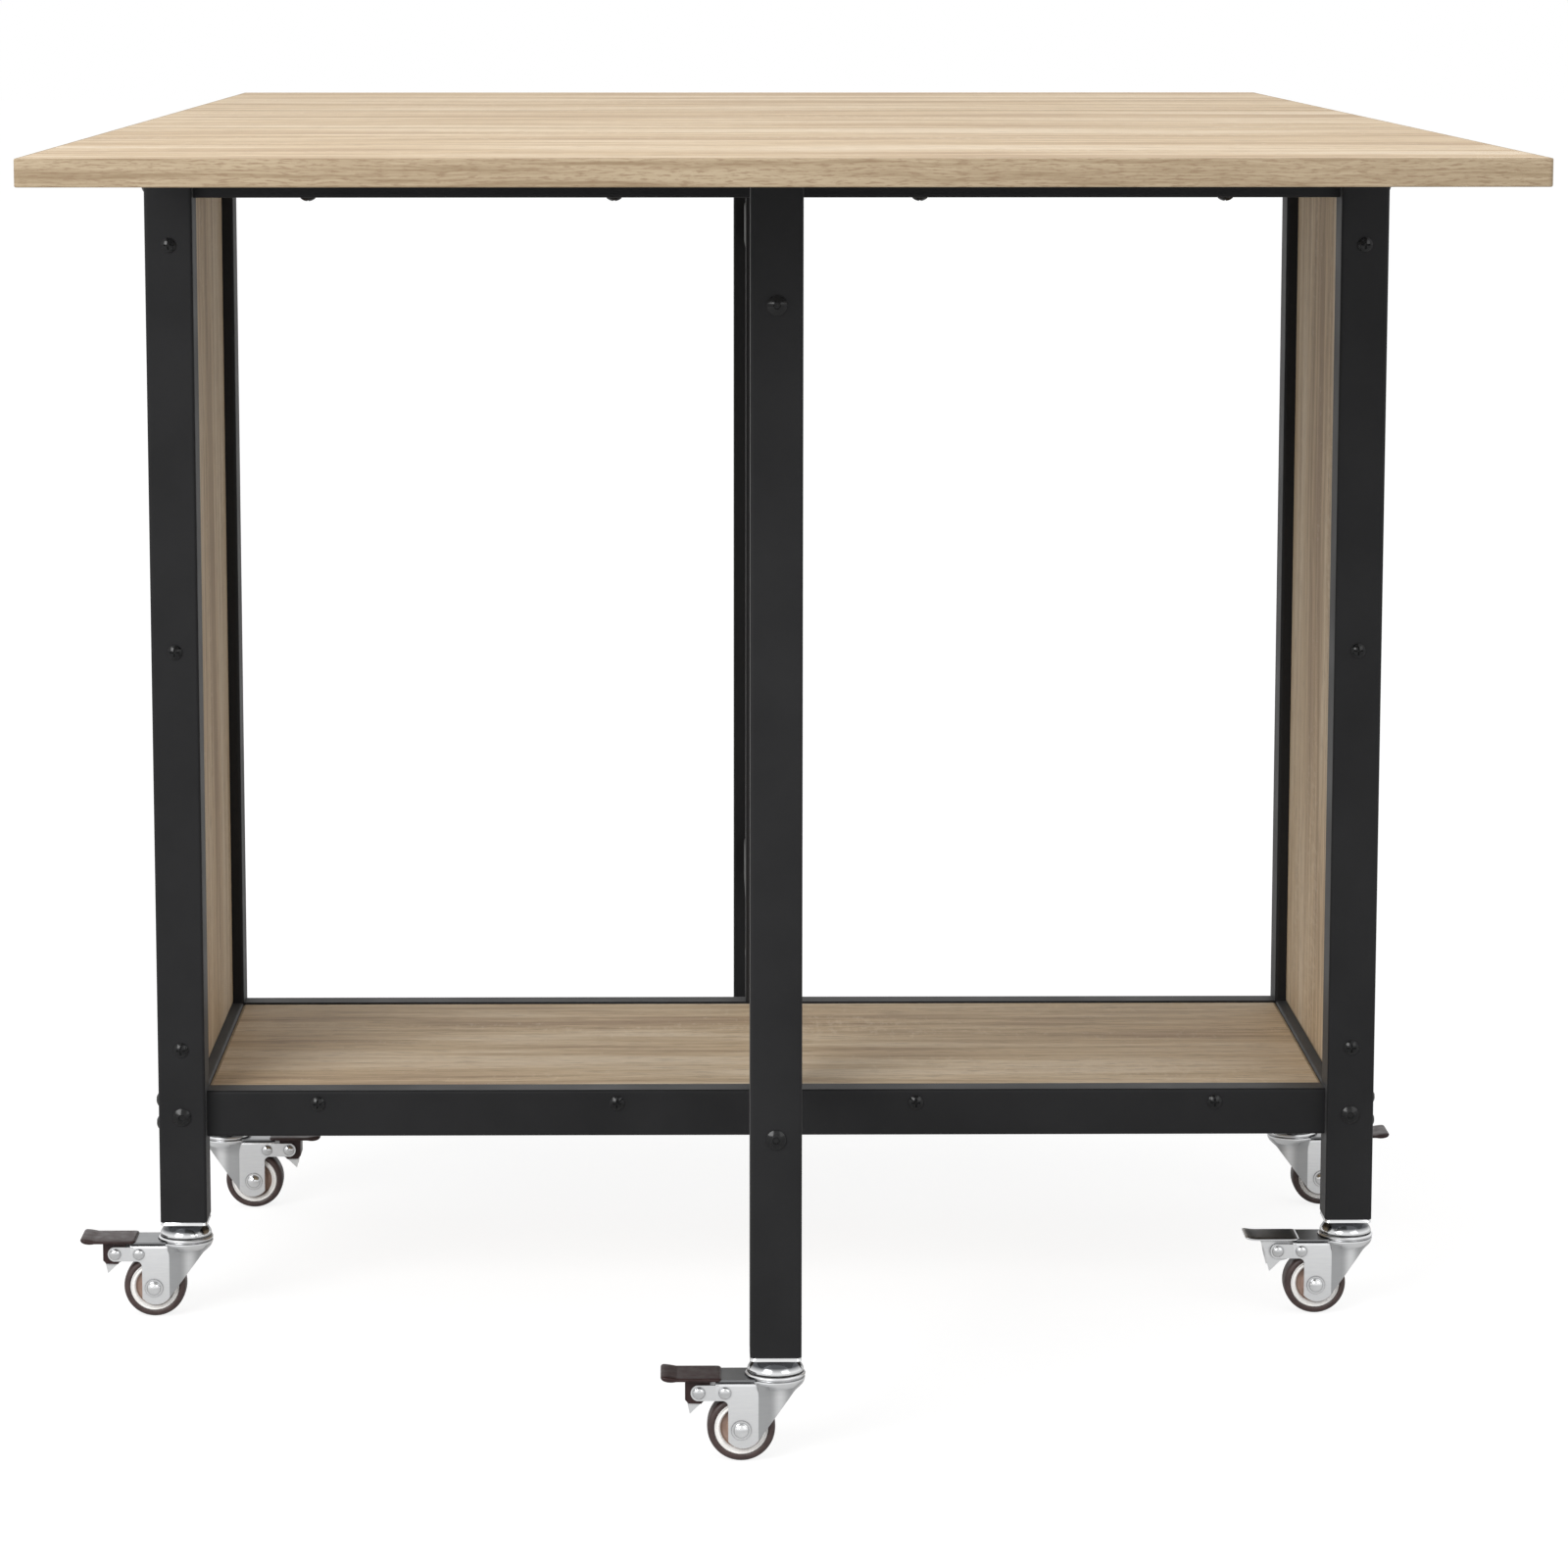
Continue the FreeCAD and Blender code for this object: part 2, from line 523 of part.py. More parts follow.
gate_pieces = {
    "leg": [gate_leg],
    "leg_cap": [gate_cap],
    "stile": [stile],
    "arms": gate_arms,
    "bolts": solids_of(gate_bolts),
}
for piece, shapes in gate_pieces.items():
    put(f"front_gate_{piece}", *shapes)
    put(f"rear_gate_{piece}", *[half_turned(shape) for shape in shapes])


# Castor pieces, made with the swivel axis on Z and the wheel and pedal towards -X
def castor_head():
    """The fixed head: threaded stem, square plate, upper race and the kingpin that holds the fork."""
    race = RACE_DIAMETER / 2
    dish_bottom = CUP_FLOOR + RACE_PLAY
    rim_bottom = CUP_TOP + RACE_PLAY
    plate_bottom = CASTOR_HEIGHT - CASTOR_PLATE
    inner = race - RACE_WALL - RACE_PLAY
    pin = KINGPIN_DIAMETER / 2
    flange = KINGPIN_FLANGE / 2
    flange_top = CUP_BOTTOM - KINGPIN_PLAY
    flange_bottom = flange_top - KINGPIN_FLANGE_HEIGHT
    head = turned(
        [
            (0, flange_bottom),
            (flange, flange_bottom),
            (flange, flange_top),
            (pin, flange_top),
            (pin, dish_bottom),
            (inner, dish_bottom),
            (inner, rim_bottom),
            (race, rim_bottom),
            (race, rim_bottom + CASTOR_PLATE / 2),
            (inner - RACE_WALL, plate_bottom),
            (0, plate_bottom),
        ]
    )
    plate = bar(POST_SIZE, POST_SIZE, CASTOR_PLATE, TUBE_CORNER).translated(Vector(0, 0, plate_bottom))
    stem = Part.makeCylinder(STEM_DIAMETER / 2, STEM_LENGTH, Vector(0, 0, CASTOR_HEIGHT))
    return head.fuse([plate, stem]).removeSplitter()


def lug_tangent():
    """The point where the fork's sloping back edge touches the round lug at the axle."""
    run = RACE_DIAMETER / 2 + WHEEL_TRAIL
    rise = CUP_BOTTOM - AXLE_Z
    angle = math.atan2(rise, run) - math.acos(FORK_LUG / math.hypot(run, rise))
    return -WHEEL_TRAIL + FORK_LUG * math.cos(angle), AXLE_Z + FORK_LUG * math.sin(angle)


def fork_cheek():
    """One side of the fork: lug at the axle, sloping back, and the arm that carries the brake."""
    race = RACE_DIAMETER / 2
    touch = lug_tangent()
    lug_side = -WHEEL_TRAIL - FORK_LUG
    arm_bottom = RIVET_HEIGHT - ARM_HALF_HEIGHT
    arm_top = RIVET_HEIGHT + ARM_HALF_HEIGHT
    outline = [
        (race, CUP_BOTTOM + FORK_SHEET / 2),
        (race, CUP_BOTTOM),
        touch,
        ((-WHEEL_TRAIL, AXLE_Z - FORK_LUG), (lug_side, AXLE_Z)),
        (lug_side, arm_bottom - FORK_SHEET),
        (lug_side - FORK_SHEET, arm_bottom),
        (-RIVET_FAR, arm_bottom),
        ((-RIVET_FAR - ARM_HALF_HEIGHT, RIVET_HEIGHT), (-RIVET_FAR, arm_top)),
        (-race, arm_top),
        (-race, CUP_BOTTOM + FORK_SHEET / 2),
    ]
    return outline_plate(outline, FORK_SHEET)


def castor_fork():
    """The pressed fork: cup for the race, flared neck, roof, two cheeks and a web across the sloping back."""
    race = RACE_DIAMETER / 2
    cheek = fork_cheek()
    near = cheek.translated(Vector(0, -FORK_HALF, 0))
    far = cheek.translated(Vector(0, FORK_GAP / 2, 0))
    cup = Part.makeCylinder(race, CUP_TOP - CUP_BOTTOM, Vector(0, 0, CUP_BOTTOM))
    cup = cup.cut(Part.makeCylinder(race - RACE_WALL, CUP_TOP - CUP_FLOOR, Vector(0, 0, CUP_FLOOR)))
    neck_foot = Vector(0, 0, CUP_BOTTOM - FORK_BLEND)
    neck = Part.makeCone(FORK_HALF, race, FORK_BLEND, neck_foot)
    neck = neck.cut(Part.makeCone(FORK_HALF - FORK_SHEET, race - FORK_SHEET, FORK_BLEND, neck_foot))
    roof = block((-ROOF_LENGTH, -FORK_HALF, FORK_ROOF - FORK_SHEET), (0, FORK_HALF, FORK_ROOF))
    touch = lug_tangent()
    slope = Vector(race - touch[0], 0, CUP_BOTTOM - touch[1]).normalize()
    inward = (-slope.z * FORK_SHEET, slope.x * FORK_SHEET)
    back = [
        (race, CUP_BOTTOM),
        touch,
        (touch[0] + inward[0], touch[1] + inward[1]),
        (race + inward[0], CUP_BOTTOM + inward[1]),
    ]
    web = outline_plate(back, 2 * FORK_HALF).translated(Vector(0, -FORK_HALF, 0))
    fork = cup.fuse([neck, roof, near, far, web])
    wheel_room = Part.makeCylinder(
        WHEEL_DIAMETER / 2 + WHEEL_FORK_PLAY, FORK_GAP, Vector(-WHEEL_TRAIL, -FORK_GAP / 2, AXLE_Z), Y_AXIS
    )
    flange_room = Part.makeCylinder(KINGPIN_FLANGE / 2 + KINGPIN_PLAY, CUP_BOTTOM)
    pin_hole = Part.makeCylinder(KINGPIN_DIAMETER / 2 + RUNNING_FIT, CUP_TOP)
    axle_hole = cross_pin(AXLE_DIAMETER + 2 * HOLE_CLEARANCE, -WHEEL_TRAIL, AXLE_Z)
    rivet_holes = [
        cross_pin(RIVET_SHANK + 2 * HOLE_CLEARANCE, -reach, RIVET_HEIGHT) for reach in (RIVET_NEAR, RIVET_FAR)
    ]
    return fork.cut([wheel_room, flange_room, pin_hole, axle_hole] + rivet_holes)


def cross_pin(diameter, x, z):
    """A plain pin along Y, as long as the fork is wide."""
    return Part.makeCylinder(diameter / 2, 2 * FORK_HALF, Vector(x, -FORK_HALF, z), Y_AXIS)


def headed_pin(shank, head, head_height, x, z):
    """A pin across the fork with a round head outside each cheek."""
    pin = cross_pin(shank, x, z)
    for side in (-1, 1):
        pin = pin.fuse(point_towards(dome(head, head_height), (x, side * FORK_HALF, z), (0, side, 0)))
    return pin


def castor_tread():
    """The soft tyre: a ring with rounded shoulders."""
    outer, half = WHEEL_DIAMETER / 2, WHEEL_WIDTH / 2
    ring = Part.makeCylinder(outer, WHEEL_WIDTH, Vector(0, 0, -half))
    ring = ring.makeFillet(TREAD_ROUND, [edge for edge in ring.Edges if edge.Closed])
    ring = ring.cut(Part.makeCylinder(outer - TREAD_THICKNESS, WHEEL_WIDTH, Vector(0, 0, -half)))
    return on_axle(ring)


def castor_core():
    """The wheel's centre: rim, thinner web and a hub that runs on the axle."""
    bore = AXLE_DIAMETER / 2 + RUNNING_FIT
    hub = HUB_DIAMETER / 2
    rim_outer = WHEEL_DIAMETER / 2 - TREAD_THICKNESS - TREAD_BOND
    rim_inner = rim_outer - CORE_RIM
    half_rim = WHEEL_WIDTH / 2 - TREAD_ROUND / 2
    half_hub = WHEEL_WIDTH / 2 + WHEEL_SIDE_PLAY / 2
    half_web = CORE_WEB / 2
    core = turned(
        [
            (bore, -half_hub),
            (hub, -half_hub),
            (hub, -half_web),
            (rim_inner, -half_web),
            (rim_inner, -half_rim),
            (rim_outer, -half_rim),
            (rim_outer, half_rim),
            (rim_inner, half_rim),
            (rim_inner, half_web),
            (hub, half_web),
            (hub, half_hub),
            (bore, half_hub),
        ]
    )
    return on_axle(core)


def on_axle(shape):
    """Turns a wheel piece made about Z onto the axle."""
    return along_y(shape).translated(Vector(-WHEEL_TRAIL, 0, AXLE_Z))


def castor_pedal():
    """The brake pedal: a tread plate with a raised tip, over a block that turns on the far rivet."""
    bottom = FORK_ROOF + PEDAL_LIFT
    top = bottom + PEDAL_THICKNESS
    tip = -PEDAL_REACH
    plate = outline_plate(
        [
            (tip, bottom + PEDAL_LIFT),
            (tip, top + PEDAL_LIFT),
            (tip + PEDAL_LIP_LENGTH / 2, top + PEDAL_LIP),
            (tip + PEDAL_LIP_LENGTH, top),
            (-ROOF_LENGTH, top),
            (-ROOF_LENGTH, bottom),
            (tip + PEDAL_LIP_LENGTH / 2, bottom),
        ],
        PEDAL_WIDTH,
    ).translated(Vector(0, -PEDAL_WIDTH / 2, 0))
    block_half = FORK_GAP / 2 - BRAKE_SIDE_PLAY
    foot = RIVET_HEIGHT - BRAKE_BLOCK_DROP
    brake = outline_plate(
        [
            (-RIVET_FAR - BRAKE_BLOCK_BACK, bottom),
            (-RIVET_FAR - BRAKE_BLOCK_BACK, RIVET_HEIGHT - BRAKE_BLOCK_DROP / 3),
            (-RIVET_FAR - BRAKE_BLOCK_BACK / 3, foot),
            (-RIVET_FAR + BRAKE_BLOCK_TOE, foot),
            (-RIVET_FAR + BRAKE_BLOCK_FRONT, RIVET_HEIGHT - BRAKE_BLOCK_DROP / 2),
            (-RIVET_FAR + BRAKE_BLOCK_FRONT, bottom),
        ],
        2 * block_half,
    ).translated(Vector(0, -block_half, 0))
    rivet_hole = cross_pin(RIVET_SHANK + 2 * RUNNING_FIT, -RIVET_FAR, RIVET_HEIGHT)
    return plate.fuse(brake).removeSplitter().cut(rivet_hole)


head = castor_head()
fork_pieces = [
    castor_fork(),
    headed_pin(AXLE_DIAMETER, AXLE_HEAD, AXLE_HEAD_HEIGHT, -WHEEL_TRAIL, AXLE_Z),
    headed_pin(RIVET_SHANK, RIVET_HEAD, RIVET_HEAD_HEIGHT, -RIVET_NEAR, RIVET_HEIGHT),
    headed_pin(RIVET_SHANK, RIVET_HEAD, RIVET_HEAD_HEIGHT, -RIVET_FAR, RIVET_HEIGHT),
]
castor_pieces = {
    "fork": fork_pieces,
    "tread": [castor_tread()],
    "wheel_core": [castor_core()],
    "brake_pedal": [castor_pedal()],
}
castor_places = {
    "front_left": (-POST_X, -POST_Y),
    "front_right": (POST_X, -POST_Y),
    "rear_left": (-POST_X, POST_Y),
    "rear_right": (POST_X, POST_Y),
    "front_gate": (0.0, -GATE_LEG_Y),
    "rear_gate": (0.0, GATE_LEG_Y),
}
post_heads = []
for place, (x, y) in castor_places.items():
    spot = Vector(x, y, 0)
    face_back = 0 if y < 0 else 180
    for piece, shapes in castor_pieces.items():
        placed = [shape.rotated(ORIGIN, Z_AXIS, face_back).translated(spot) for shape in shapes]
        put(f"{place}_{piece}", *placed)
    if place.endswith("gate"):
        put(f"{place}_castor_head", head.translated(spot))
    else:
        post_heads.append(head.translated(spot))
put("post_castor_heads", *post_heads)

os.makedirs("parts", exist_ok=True)
for name, shape in nodes.items():
    shape.exportStep(f"parts/{name}.step")
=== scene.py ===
import math

import bpy
import numpy as np
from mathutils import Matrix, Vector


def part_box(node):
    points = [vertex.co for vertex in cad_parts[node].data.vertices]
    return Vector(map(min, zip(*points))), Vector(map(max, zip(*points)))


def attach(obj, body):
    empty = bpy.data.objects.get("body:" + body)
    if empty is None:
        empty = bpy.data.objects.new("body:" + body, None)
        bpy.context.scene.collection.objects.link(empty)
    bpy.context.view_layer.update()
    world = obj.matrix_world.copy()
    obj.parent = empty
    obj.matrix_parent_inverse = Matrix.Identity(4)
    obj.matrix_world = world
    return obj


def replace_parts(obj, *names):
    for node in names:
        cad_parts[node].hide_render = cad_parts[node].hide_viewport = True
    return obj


# The looks of a folding dining table: a narrow black steel frame on castors, a fixed centre board between
# two leaves, and a gate leg swung out under each leaf. Metres, X to the right, Y away, Z up from the floor.
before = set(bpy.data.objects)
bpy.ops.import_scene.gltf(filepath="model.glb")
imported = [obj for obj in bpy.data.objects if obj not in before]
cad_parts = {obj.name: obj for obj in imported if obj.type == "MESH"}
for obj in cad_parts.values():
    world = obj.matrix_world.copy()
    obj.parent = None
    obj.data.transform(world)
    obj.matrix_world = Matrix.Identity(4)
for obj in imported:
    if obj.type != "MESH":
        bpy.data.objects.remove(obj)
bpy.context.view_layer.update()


# Steel frame: posts, rails, centre posts, brackets and gates of thin square and rectangular tube, bolted up.
# All of it wears one satin black powder coat, sprayed on dry and baked, which leaves a faint orange peel.
MM = 0.001
POSTS = ("front_left", "front_right", "rear_left", "rear_right")
GATES = ("front_gate", "rear_gate")
POWDER_BLACK = "#1f1f20"
POWDER_DUSTY = "#262627"
POWDER_ROUGHNESS = (0.46, 0.58)
POWDER_GLINT = 0.15
BLOOM_WEIGHT = 0.12
BLOOM_ROUGHNESS = 0.35
CLOUD_SIZE = 60 * MM
CLOUD_LEVELS = (0.3, 0.7)
PEEL_SIZE = 2.2 * MM
PEEL_DEPTH = 0.05 * MM
PEEL_STRENGTH = 0.35


def linear(colour):
    """An sRGB hex colour as linear RGBA."""
    srgb = np.array([int(colour[start : start + 2], 16) for start in (1, 3, 5)]) / 255
    light = np.where(srgb <= 0.04045, srgb / 12.92, ((srgb + 0.055) / 1.055) ** 2.4)
    return (*light.tolist(), 1.0)


def new_finish(name):
    """A new material: gives it, its node tree and its Principled shader."""
    finish = bpy.data.materials.new(name)
    finish.use_nodes = True
    return finish, finish.node_tree, finish.node_tree.nodes["Principled BSDF"]


def feed(tree, node, values=(), links=()):
    """Fills a node's sockets with plain values and with links from other nodes' outputs."""
    for socket, value in dict(values).items():
        node.inputs[socket].default_value = value
    for socket, source in dict(links).items():
        tree.links.new(source, node.inputs[socket])


def add(tree, kind, values=(), links=(), **settings):
    """Adds a shader node with its own settings, its socket values and its links."""
    node = tree.nodes.new("ShaderNode" + kind)
    for setting, choice in settings.items():
        setattr(node, setting, choice)
    feed(tree, node, values, links)
    return node


def between(side, limits):
    """The two ends of a range, named like a Map Range node's sockets on its From or To side."""
    return {f"{side} Min": limits[0], f"{side} Max": limits[1]}


# Powder-coated steel: polyester powder melted over the tube. Matt black seen square on, with a soft grey
# bloom on the sides seen at a low angle, a fine orange peel, and slightly duller clouds where it has been
# handled.
powder_coat, tree, shader = new_finish("powder_coated_steel")
place = add(tree, "TexCoord").outputs["Object"]
clouds = add(tree, "TexNoise", {"Scale": 1 / CLOUD_SIZE, "Detail": 5.0}, {"Vector": place}).outputs["Fac"]
peel = add(tree, "TexNoise", {"Scale": 1 / PEEL_SIZE, "Detail": 2.0}, {"Vector": place}).outputs["Fac"]
dust = add(tree, "MapRange", between("From", CLOUD_LEVELS), {"Value": clouds}).outputs["Result"]
black = add(tree, "Mix", {6: linear(POWDER_BLACK), 7: linear(POWDER_DUSTY)}, {0: dust}, data_type="RGBA")
dull = add(tree, "MapRange", between("To", POWDER_ROUGHNESS), {"Value": dust}).outputs["Result"]
relief = add(tree, "Bump", {"Strength": PEEL_STRENGTH, "Distance": PEEL_DEPTH}, {"Height": peel})
feed(
    tree,
    shader,
    {"Specular IOR Level": POWDER_GLINT, "Sheen Weight": BLOOM_WEIGHT, "Sheen Roughness": BLOOM_ROUGHNESS},
    {"Base Color": black.outputs[2], "Roughness": dull, "Normal": relief.outputs["Normal"]},
)


def dress(finish, *nodes):
    """Gives CAD pieces, which keep their shape, one finish."""
    for node in nodes:
        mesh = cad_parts[node].data
        mesh.materials.clear()
        mesh.materials.append(finish)


dress(powder_coat, *[f"{post}_post" for post in POSTS])
dress(powder_coat, "shelf_rails", "top_rails", "shelf_side_rails", "top_side_rails")
dress(powder_coat, "centre_posts", "gate_brackets")
for gate in GATES:
    dress(powder_coat, f"{gate}_leg", f"{gate}_stile", f"{gate}_arms")


# Screws and bolts: cold-headed steel with domed heads, cross slots for the wood screws and hexagon sockets
# for the bolts. They are blackened and oiled: a head catches a small bright spot and its slot stays dark.
SCREW_BLACK = "#101011"
SCREW_WORN = "#202021"
SCREW_ROUGHNESS = (0.12, 0.22)
SCREW_GLINT = 0.3
RUB_SIZE = 3 * MM
RUB_LEVELS = (0.5, 0.75)
SLOT_REACH = 2 * MM
SLOT_LEVELS = (0.3, 0.95)
SLOT_ROUGHNESS = 0.95
CORNER_SAMPLES = 8

blackened, tree, shader = new_finish("blackened_steel_screws")
place = add(tree, "TexCoord").outputs["Object"]
rubs = add(tree, "TexNoise", {"Scale": 1 / RUB_SIZE, "Detail": 4.0}, {"Vector": place}).outputs["Fac"]
rubbed_wear_and_painted_top = add(tree, "MapRange", between("From", RUB_LEVELS), {"Value": rubs}).outputs["Result"]
black = add(tree, "Mix", {6: linear(SCREW_BLACK), 7: linear(SCREW_WORN)}, {0: rubbed_wear_and_painted_top}, data_type="RGBA")
gloss = add(tree, "MapRange", between("To", SCREW_ROUGHNESS), {"Value": rubs}).outputs["Result"]
open_air = add(tree, "AmbientOcclusion", {"Distance": SLOT_REACH}, samples=CORNER_SAMPLES).outputs["AO"]
wiped = add(tree, "MapRange", between("From", SLOT_LEVELS), {"Value": open_air}).outputs["Result"]
oiled = add(tree, "Mix", {2: SLOT_ROUGHNESS}, {0: wiped, 3: gloss}, data_type="FLOAT").outputs[0]
feed(tree, shader, {"Specular IOR Level": SCREW_GLINT}, {"Base Color": black.outputs[2], "Roughness": oiled})
dress(blackened, "frame_bolts", "wood_screws", "gate_pivot_pins", "front_gate_bolts", "rear_gate_bolts")


# Boards: 15 mm chipboard under a matt printed oak foil, with an oak edge strip glued round the sides. The
# shelf and the side panels are held by screws through the frame, the centre board by screws up through the
# rails. The boards of the top have a plain backing sheet underneath.
EDGE_ROUND = 0.9 * MM
CORNER_ROUND = 2.5 * MM
ROUND_STEPS = 5
FOLD = math.radians(38)
FACE, EDGE, BACK = 0, 1, 2
FLAT_BOARD = (0, 1, 2)
UPRIGHT_BOARD = (2, 1, 0)
OAK_PALE = "#e3d0b5"
OAK_MID = "#d2ba98"
OAK_DARK = "#b2977a"
OAK_PORE = "#8c745b"
OAK_RAY = "#ead9c0"
STRIP_PALE = "#b4a287"
STRIP_MID = "#a8957a"
STRIP_DARK = "#948065"
TONE_STOPS = (0.39, 0.49, 0.58)
STREAK_SHARE = 0.45
GRAIN_NOISE = {"Scale": 1.0, "Detail": 3.0, "Roughness": 0.62}
PORE_DEPTH = 0.06 * MM
PORE_STRENGTH = 0.4
RAY_MARK = (5 * MM, 16 * MM)
RAY_PATCH = (260 * MM, 60 * MM)
RAY_LEVELS = (0.3, 0.42)
FOIL_ROUGHNESS = (0.56, 0.7)
FOIL_GLINT = 0.3
BACKING_GREY = "#c8c7c4"
BACKING_SHADE = "#bebdba"
BACKING_ROUGHNESS = 0.65
FIBRE_SIZE = 3 * MM


def printed_oak(name, tones, sway, bands, streaks, pores, flecks, rays):
    """Oak grain as noise drawn out along the first axis of the piece's own map: broad bands, narrow streaks
    and short dark pores, each given as (length, width), all bent by sway, a sideways wave given likewise.
    flecks gives the noise levels between which a pore darkens, and how much; rays is the strength of the
    pale patches of short marks across the grain."""
    finish, tree, shader = new_finish(name)
    grain = add(tree, "TexCoord").outputs["UV"]
    slow = add(tree, "TexNoise", {"Scale": 1 / sway[0], "Detail": 1.0}, {"Vector": grain})
    bent = add(
        tree,
        "VectorMath",
        {1: (0.0, sway[1], 0.0)},
        {0: slow.outputs["Color"], 2: grain},
        operation="MULTIPLY_ADD",
    ).outputs["Vector"]
    layers = []
    for length, width in (bands, streaks, pores, RAY_MARK, RAY_PATCH):
        drawn = add(tree, "Mapping", {"Scale": (1 / length, 1 / width, 1.0)}, {"Vector": bent})
        noise = add(tree, "TexNoise", GRAIN_NOISE, {"Vector": drawn.outputs["Vector"]})
        layers.append(noise.outputs["Fac"])
    band, streak, pore, ray_mark, ray_patch = layers
    mixed = add(tree, "Mix", {0: STREAK_SHARE}, {2: band, 3: streak}, data_type="FLOAT").outputs[0]
    tone = add(tree, "ValToRGB", {}, {"Fac": mixed})
    stops = tone.color_ramp.elements
    for position, colour in zip(TONE_STOPS, tones):
        stop = stops[0] if position == TONE_STOPS[0] else stops.new(position)
        stop.position = position
        stop.color = linear(colour)
    stops.remove(stops[-1])
    marks = add(tree, "Math", {}, {0: ray_mark, 1: ray_patch}, operation="MULTIPLY").outputs[0]
    shine_range = {**between("From", RAY_LEVELS), "To Max": rays}
    shine = add(tree, "MapRange", shine_range, {"Value": marks}).outputs["Result"]
    rayed = add(tree, "Mix", {7: linear(OAK_RAY)}, {0: shine, 6: tone.outputs["Color"]}, data_type="RGBA")
    start, end, strength = flecks
    fleck_range = {**between("From", (start, end)), "To Max": strength}
    dark = add(tree, "MapRange", fleck_range, {"Value": pore}).outputs["Result"]
    oak = add(tree, "Mix", {7: linear(OAK_PORE)}, {0: dark, 6: rayed.outputs[2]}, data_type="RGBA")
    matt = add(tree, "MapRange", between("To", FOIL_ROUGHNESS), {"Value": streak}).outputs["Result"]
    relief = add(
        tree, "Bump", {"Strength": PORE_STRENGTH, "Distance": PORE_DEPTH}, {"Height": dark}, invert=True
    )
    feed(
        tree,
        shader,
        {"Specular IOR Level": FOIL_GLINT},
        {"Base Color": oak.outputs[2], "Roughness": matt, "Normal": relief.outputs["Normal"]},
    )
    return finish


# Oak foil: printed paper under melamine, matt and even, with long pale and brown streaks of quarter-sawn
# oak. Its real pores are about half a millimetre wide and are drawn coarser here, so that they show.
oak_foil = printed_oak(
    "printed_oak_foil",
    (OAK_DARK, OAK_MID, OAK_PALE),
    sway=(420 * MM, 14 * MM),
    bands=(700 * MM, 75 * MM),
    streaks=(190 * MM, 11 * MM),
    pores=(22 * MM, 1.5 * MM),
    flecks=(0.53, 0.67, 0.6),
    rays=0.35,
)
# Oak edge strip: thin printed plastic, a little browner than the foil, with short dense flecks.
oak_strip = printed_oak(
    "printed_oak_edge_strip",
    (STRIP_DARK, STRIP_MID, STRIP_PALE),
    sway=(55 * MM, 4 * MM),
    bands=(220 * MM, 5 * MM),
    streaks=(60 * MM, 1.8 * MM),
    pores=(8 * MM, 1.1 * MM),
    flecks=(0.5, 0.63, 0.7),
    rays=0.0,
)
# Backing sheet: plain grey melamine paper, glued on to keep a board flat. Matt, with a faint mottle of paper
# fibres, drawn coarser than it is.
backing_paper, tree, shader = new_finish("melamine_backing_paper")
place = add(tree, "TexCoord").outputs["Object"]
fibres = add(tree, "TexNoise", {"Scale": 1 / FIBRE_SIZE, "Detail": 4.0}, {"Vector": place}).outputs["Fac"]
grey = add(tree, "Mix", {6: linear(BACKING_GREY), 7: linear(BACKING_SHADE)}, {0: fibres}, data_type="RGBA")
paper_values = {"Roughness": BACKING_ROUGHNESS, "Specular IOR Level": FOIL_GLINT}
feed(tree, shader, paper_values, {"Base Color": grey.outputs[2]})


def loft(rings, looped=False, finish=0, wrap=None, painted_reflection=0.0):
    """One closed skin from a stack of rings, each a row of points that closes on itself. Quads join each
    ring to the next; the end rings are filled, or joined to each other if the stack is looped. finish is
    the place of the finish in its list, for all quads or for each band of them. wrap is the quads' flat
    map, (rows, columns + 1, 2), and the end faces then lie on the map as they lie in X and Y. The last
    argument says, for each point or for a whole ring, how dark the zinc there is painted: a painted dark
    reflection."""
    rows, columns = rings.shape[:2]
    spot = np.arange(rows * columns).reshape(rows, columns)
    beside = np.roll(spot, -1, axis=1)
    corners = np.stack([spot, beside, np.roll(beside, -1, axis=0), np.roll(spot, -1, axis=0)], axis=2)
    bands = rows if looped else rows - 1
    quads = corners[:bands].reshape(-1, 4)
    ends = [] if looped else [spot[0, ::-1], spot[-1]]
    kinds = np.broadcast_to(np.asarray(finish), (bands,)).repeat(columns)
    end_kinds = [int(kinds[0]), int(kinds[-1])] if ends else []
    points = rings.reshape(-1, 3)
    flat = None
    if wrap is not None:
        sides = np.stack([wrap[:-1, :-1], wrap[:-1, 1:], wrap[1:, 1:], wrap[1:, :-1]], axis=2)
        flat = list(sides.reshape(-1, 4, 2)) + [points[end][:, :2] for end in ends]
    return {
        "points": points,
        "faces": list(quads) + ends,
        "kinds": kinds.tolist() + end_kinds,
        "flat": flat,
        "painted_reflection": np.broadcast_to(painted_reflection, (rows, columns)).ravel(),
    }


def faces_inwards(skin):
    """Does a closed skin enclose a negative volume? Sums each face's area arrow along its middle."""
    quads = np.array([face for face in skin["faces"] if len(face) == 4])
    corners = skin["points"][quads]
    arrows = np.cross(corners[:, 2] - corners[:, 0], corners[:, 3] - corners[:, 1])
    total = (arrows * corners.mean(1)).sum()
    for end in (face for face in skin["faces"] if len(face) != 4):
        corners = skin["points"][end]
        arrow = np.cross(corners, np.roll(corners, -1, axis=0)).sum(0)
        total += (arrow * corners.mean(0)).sum()
    return total < 0


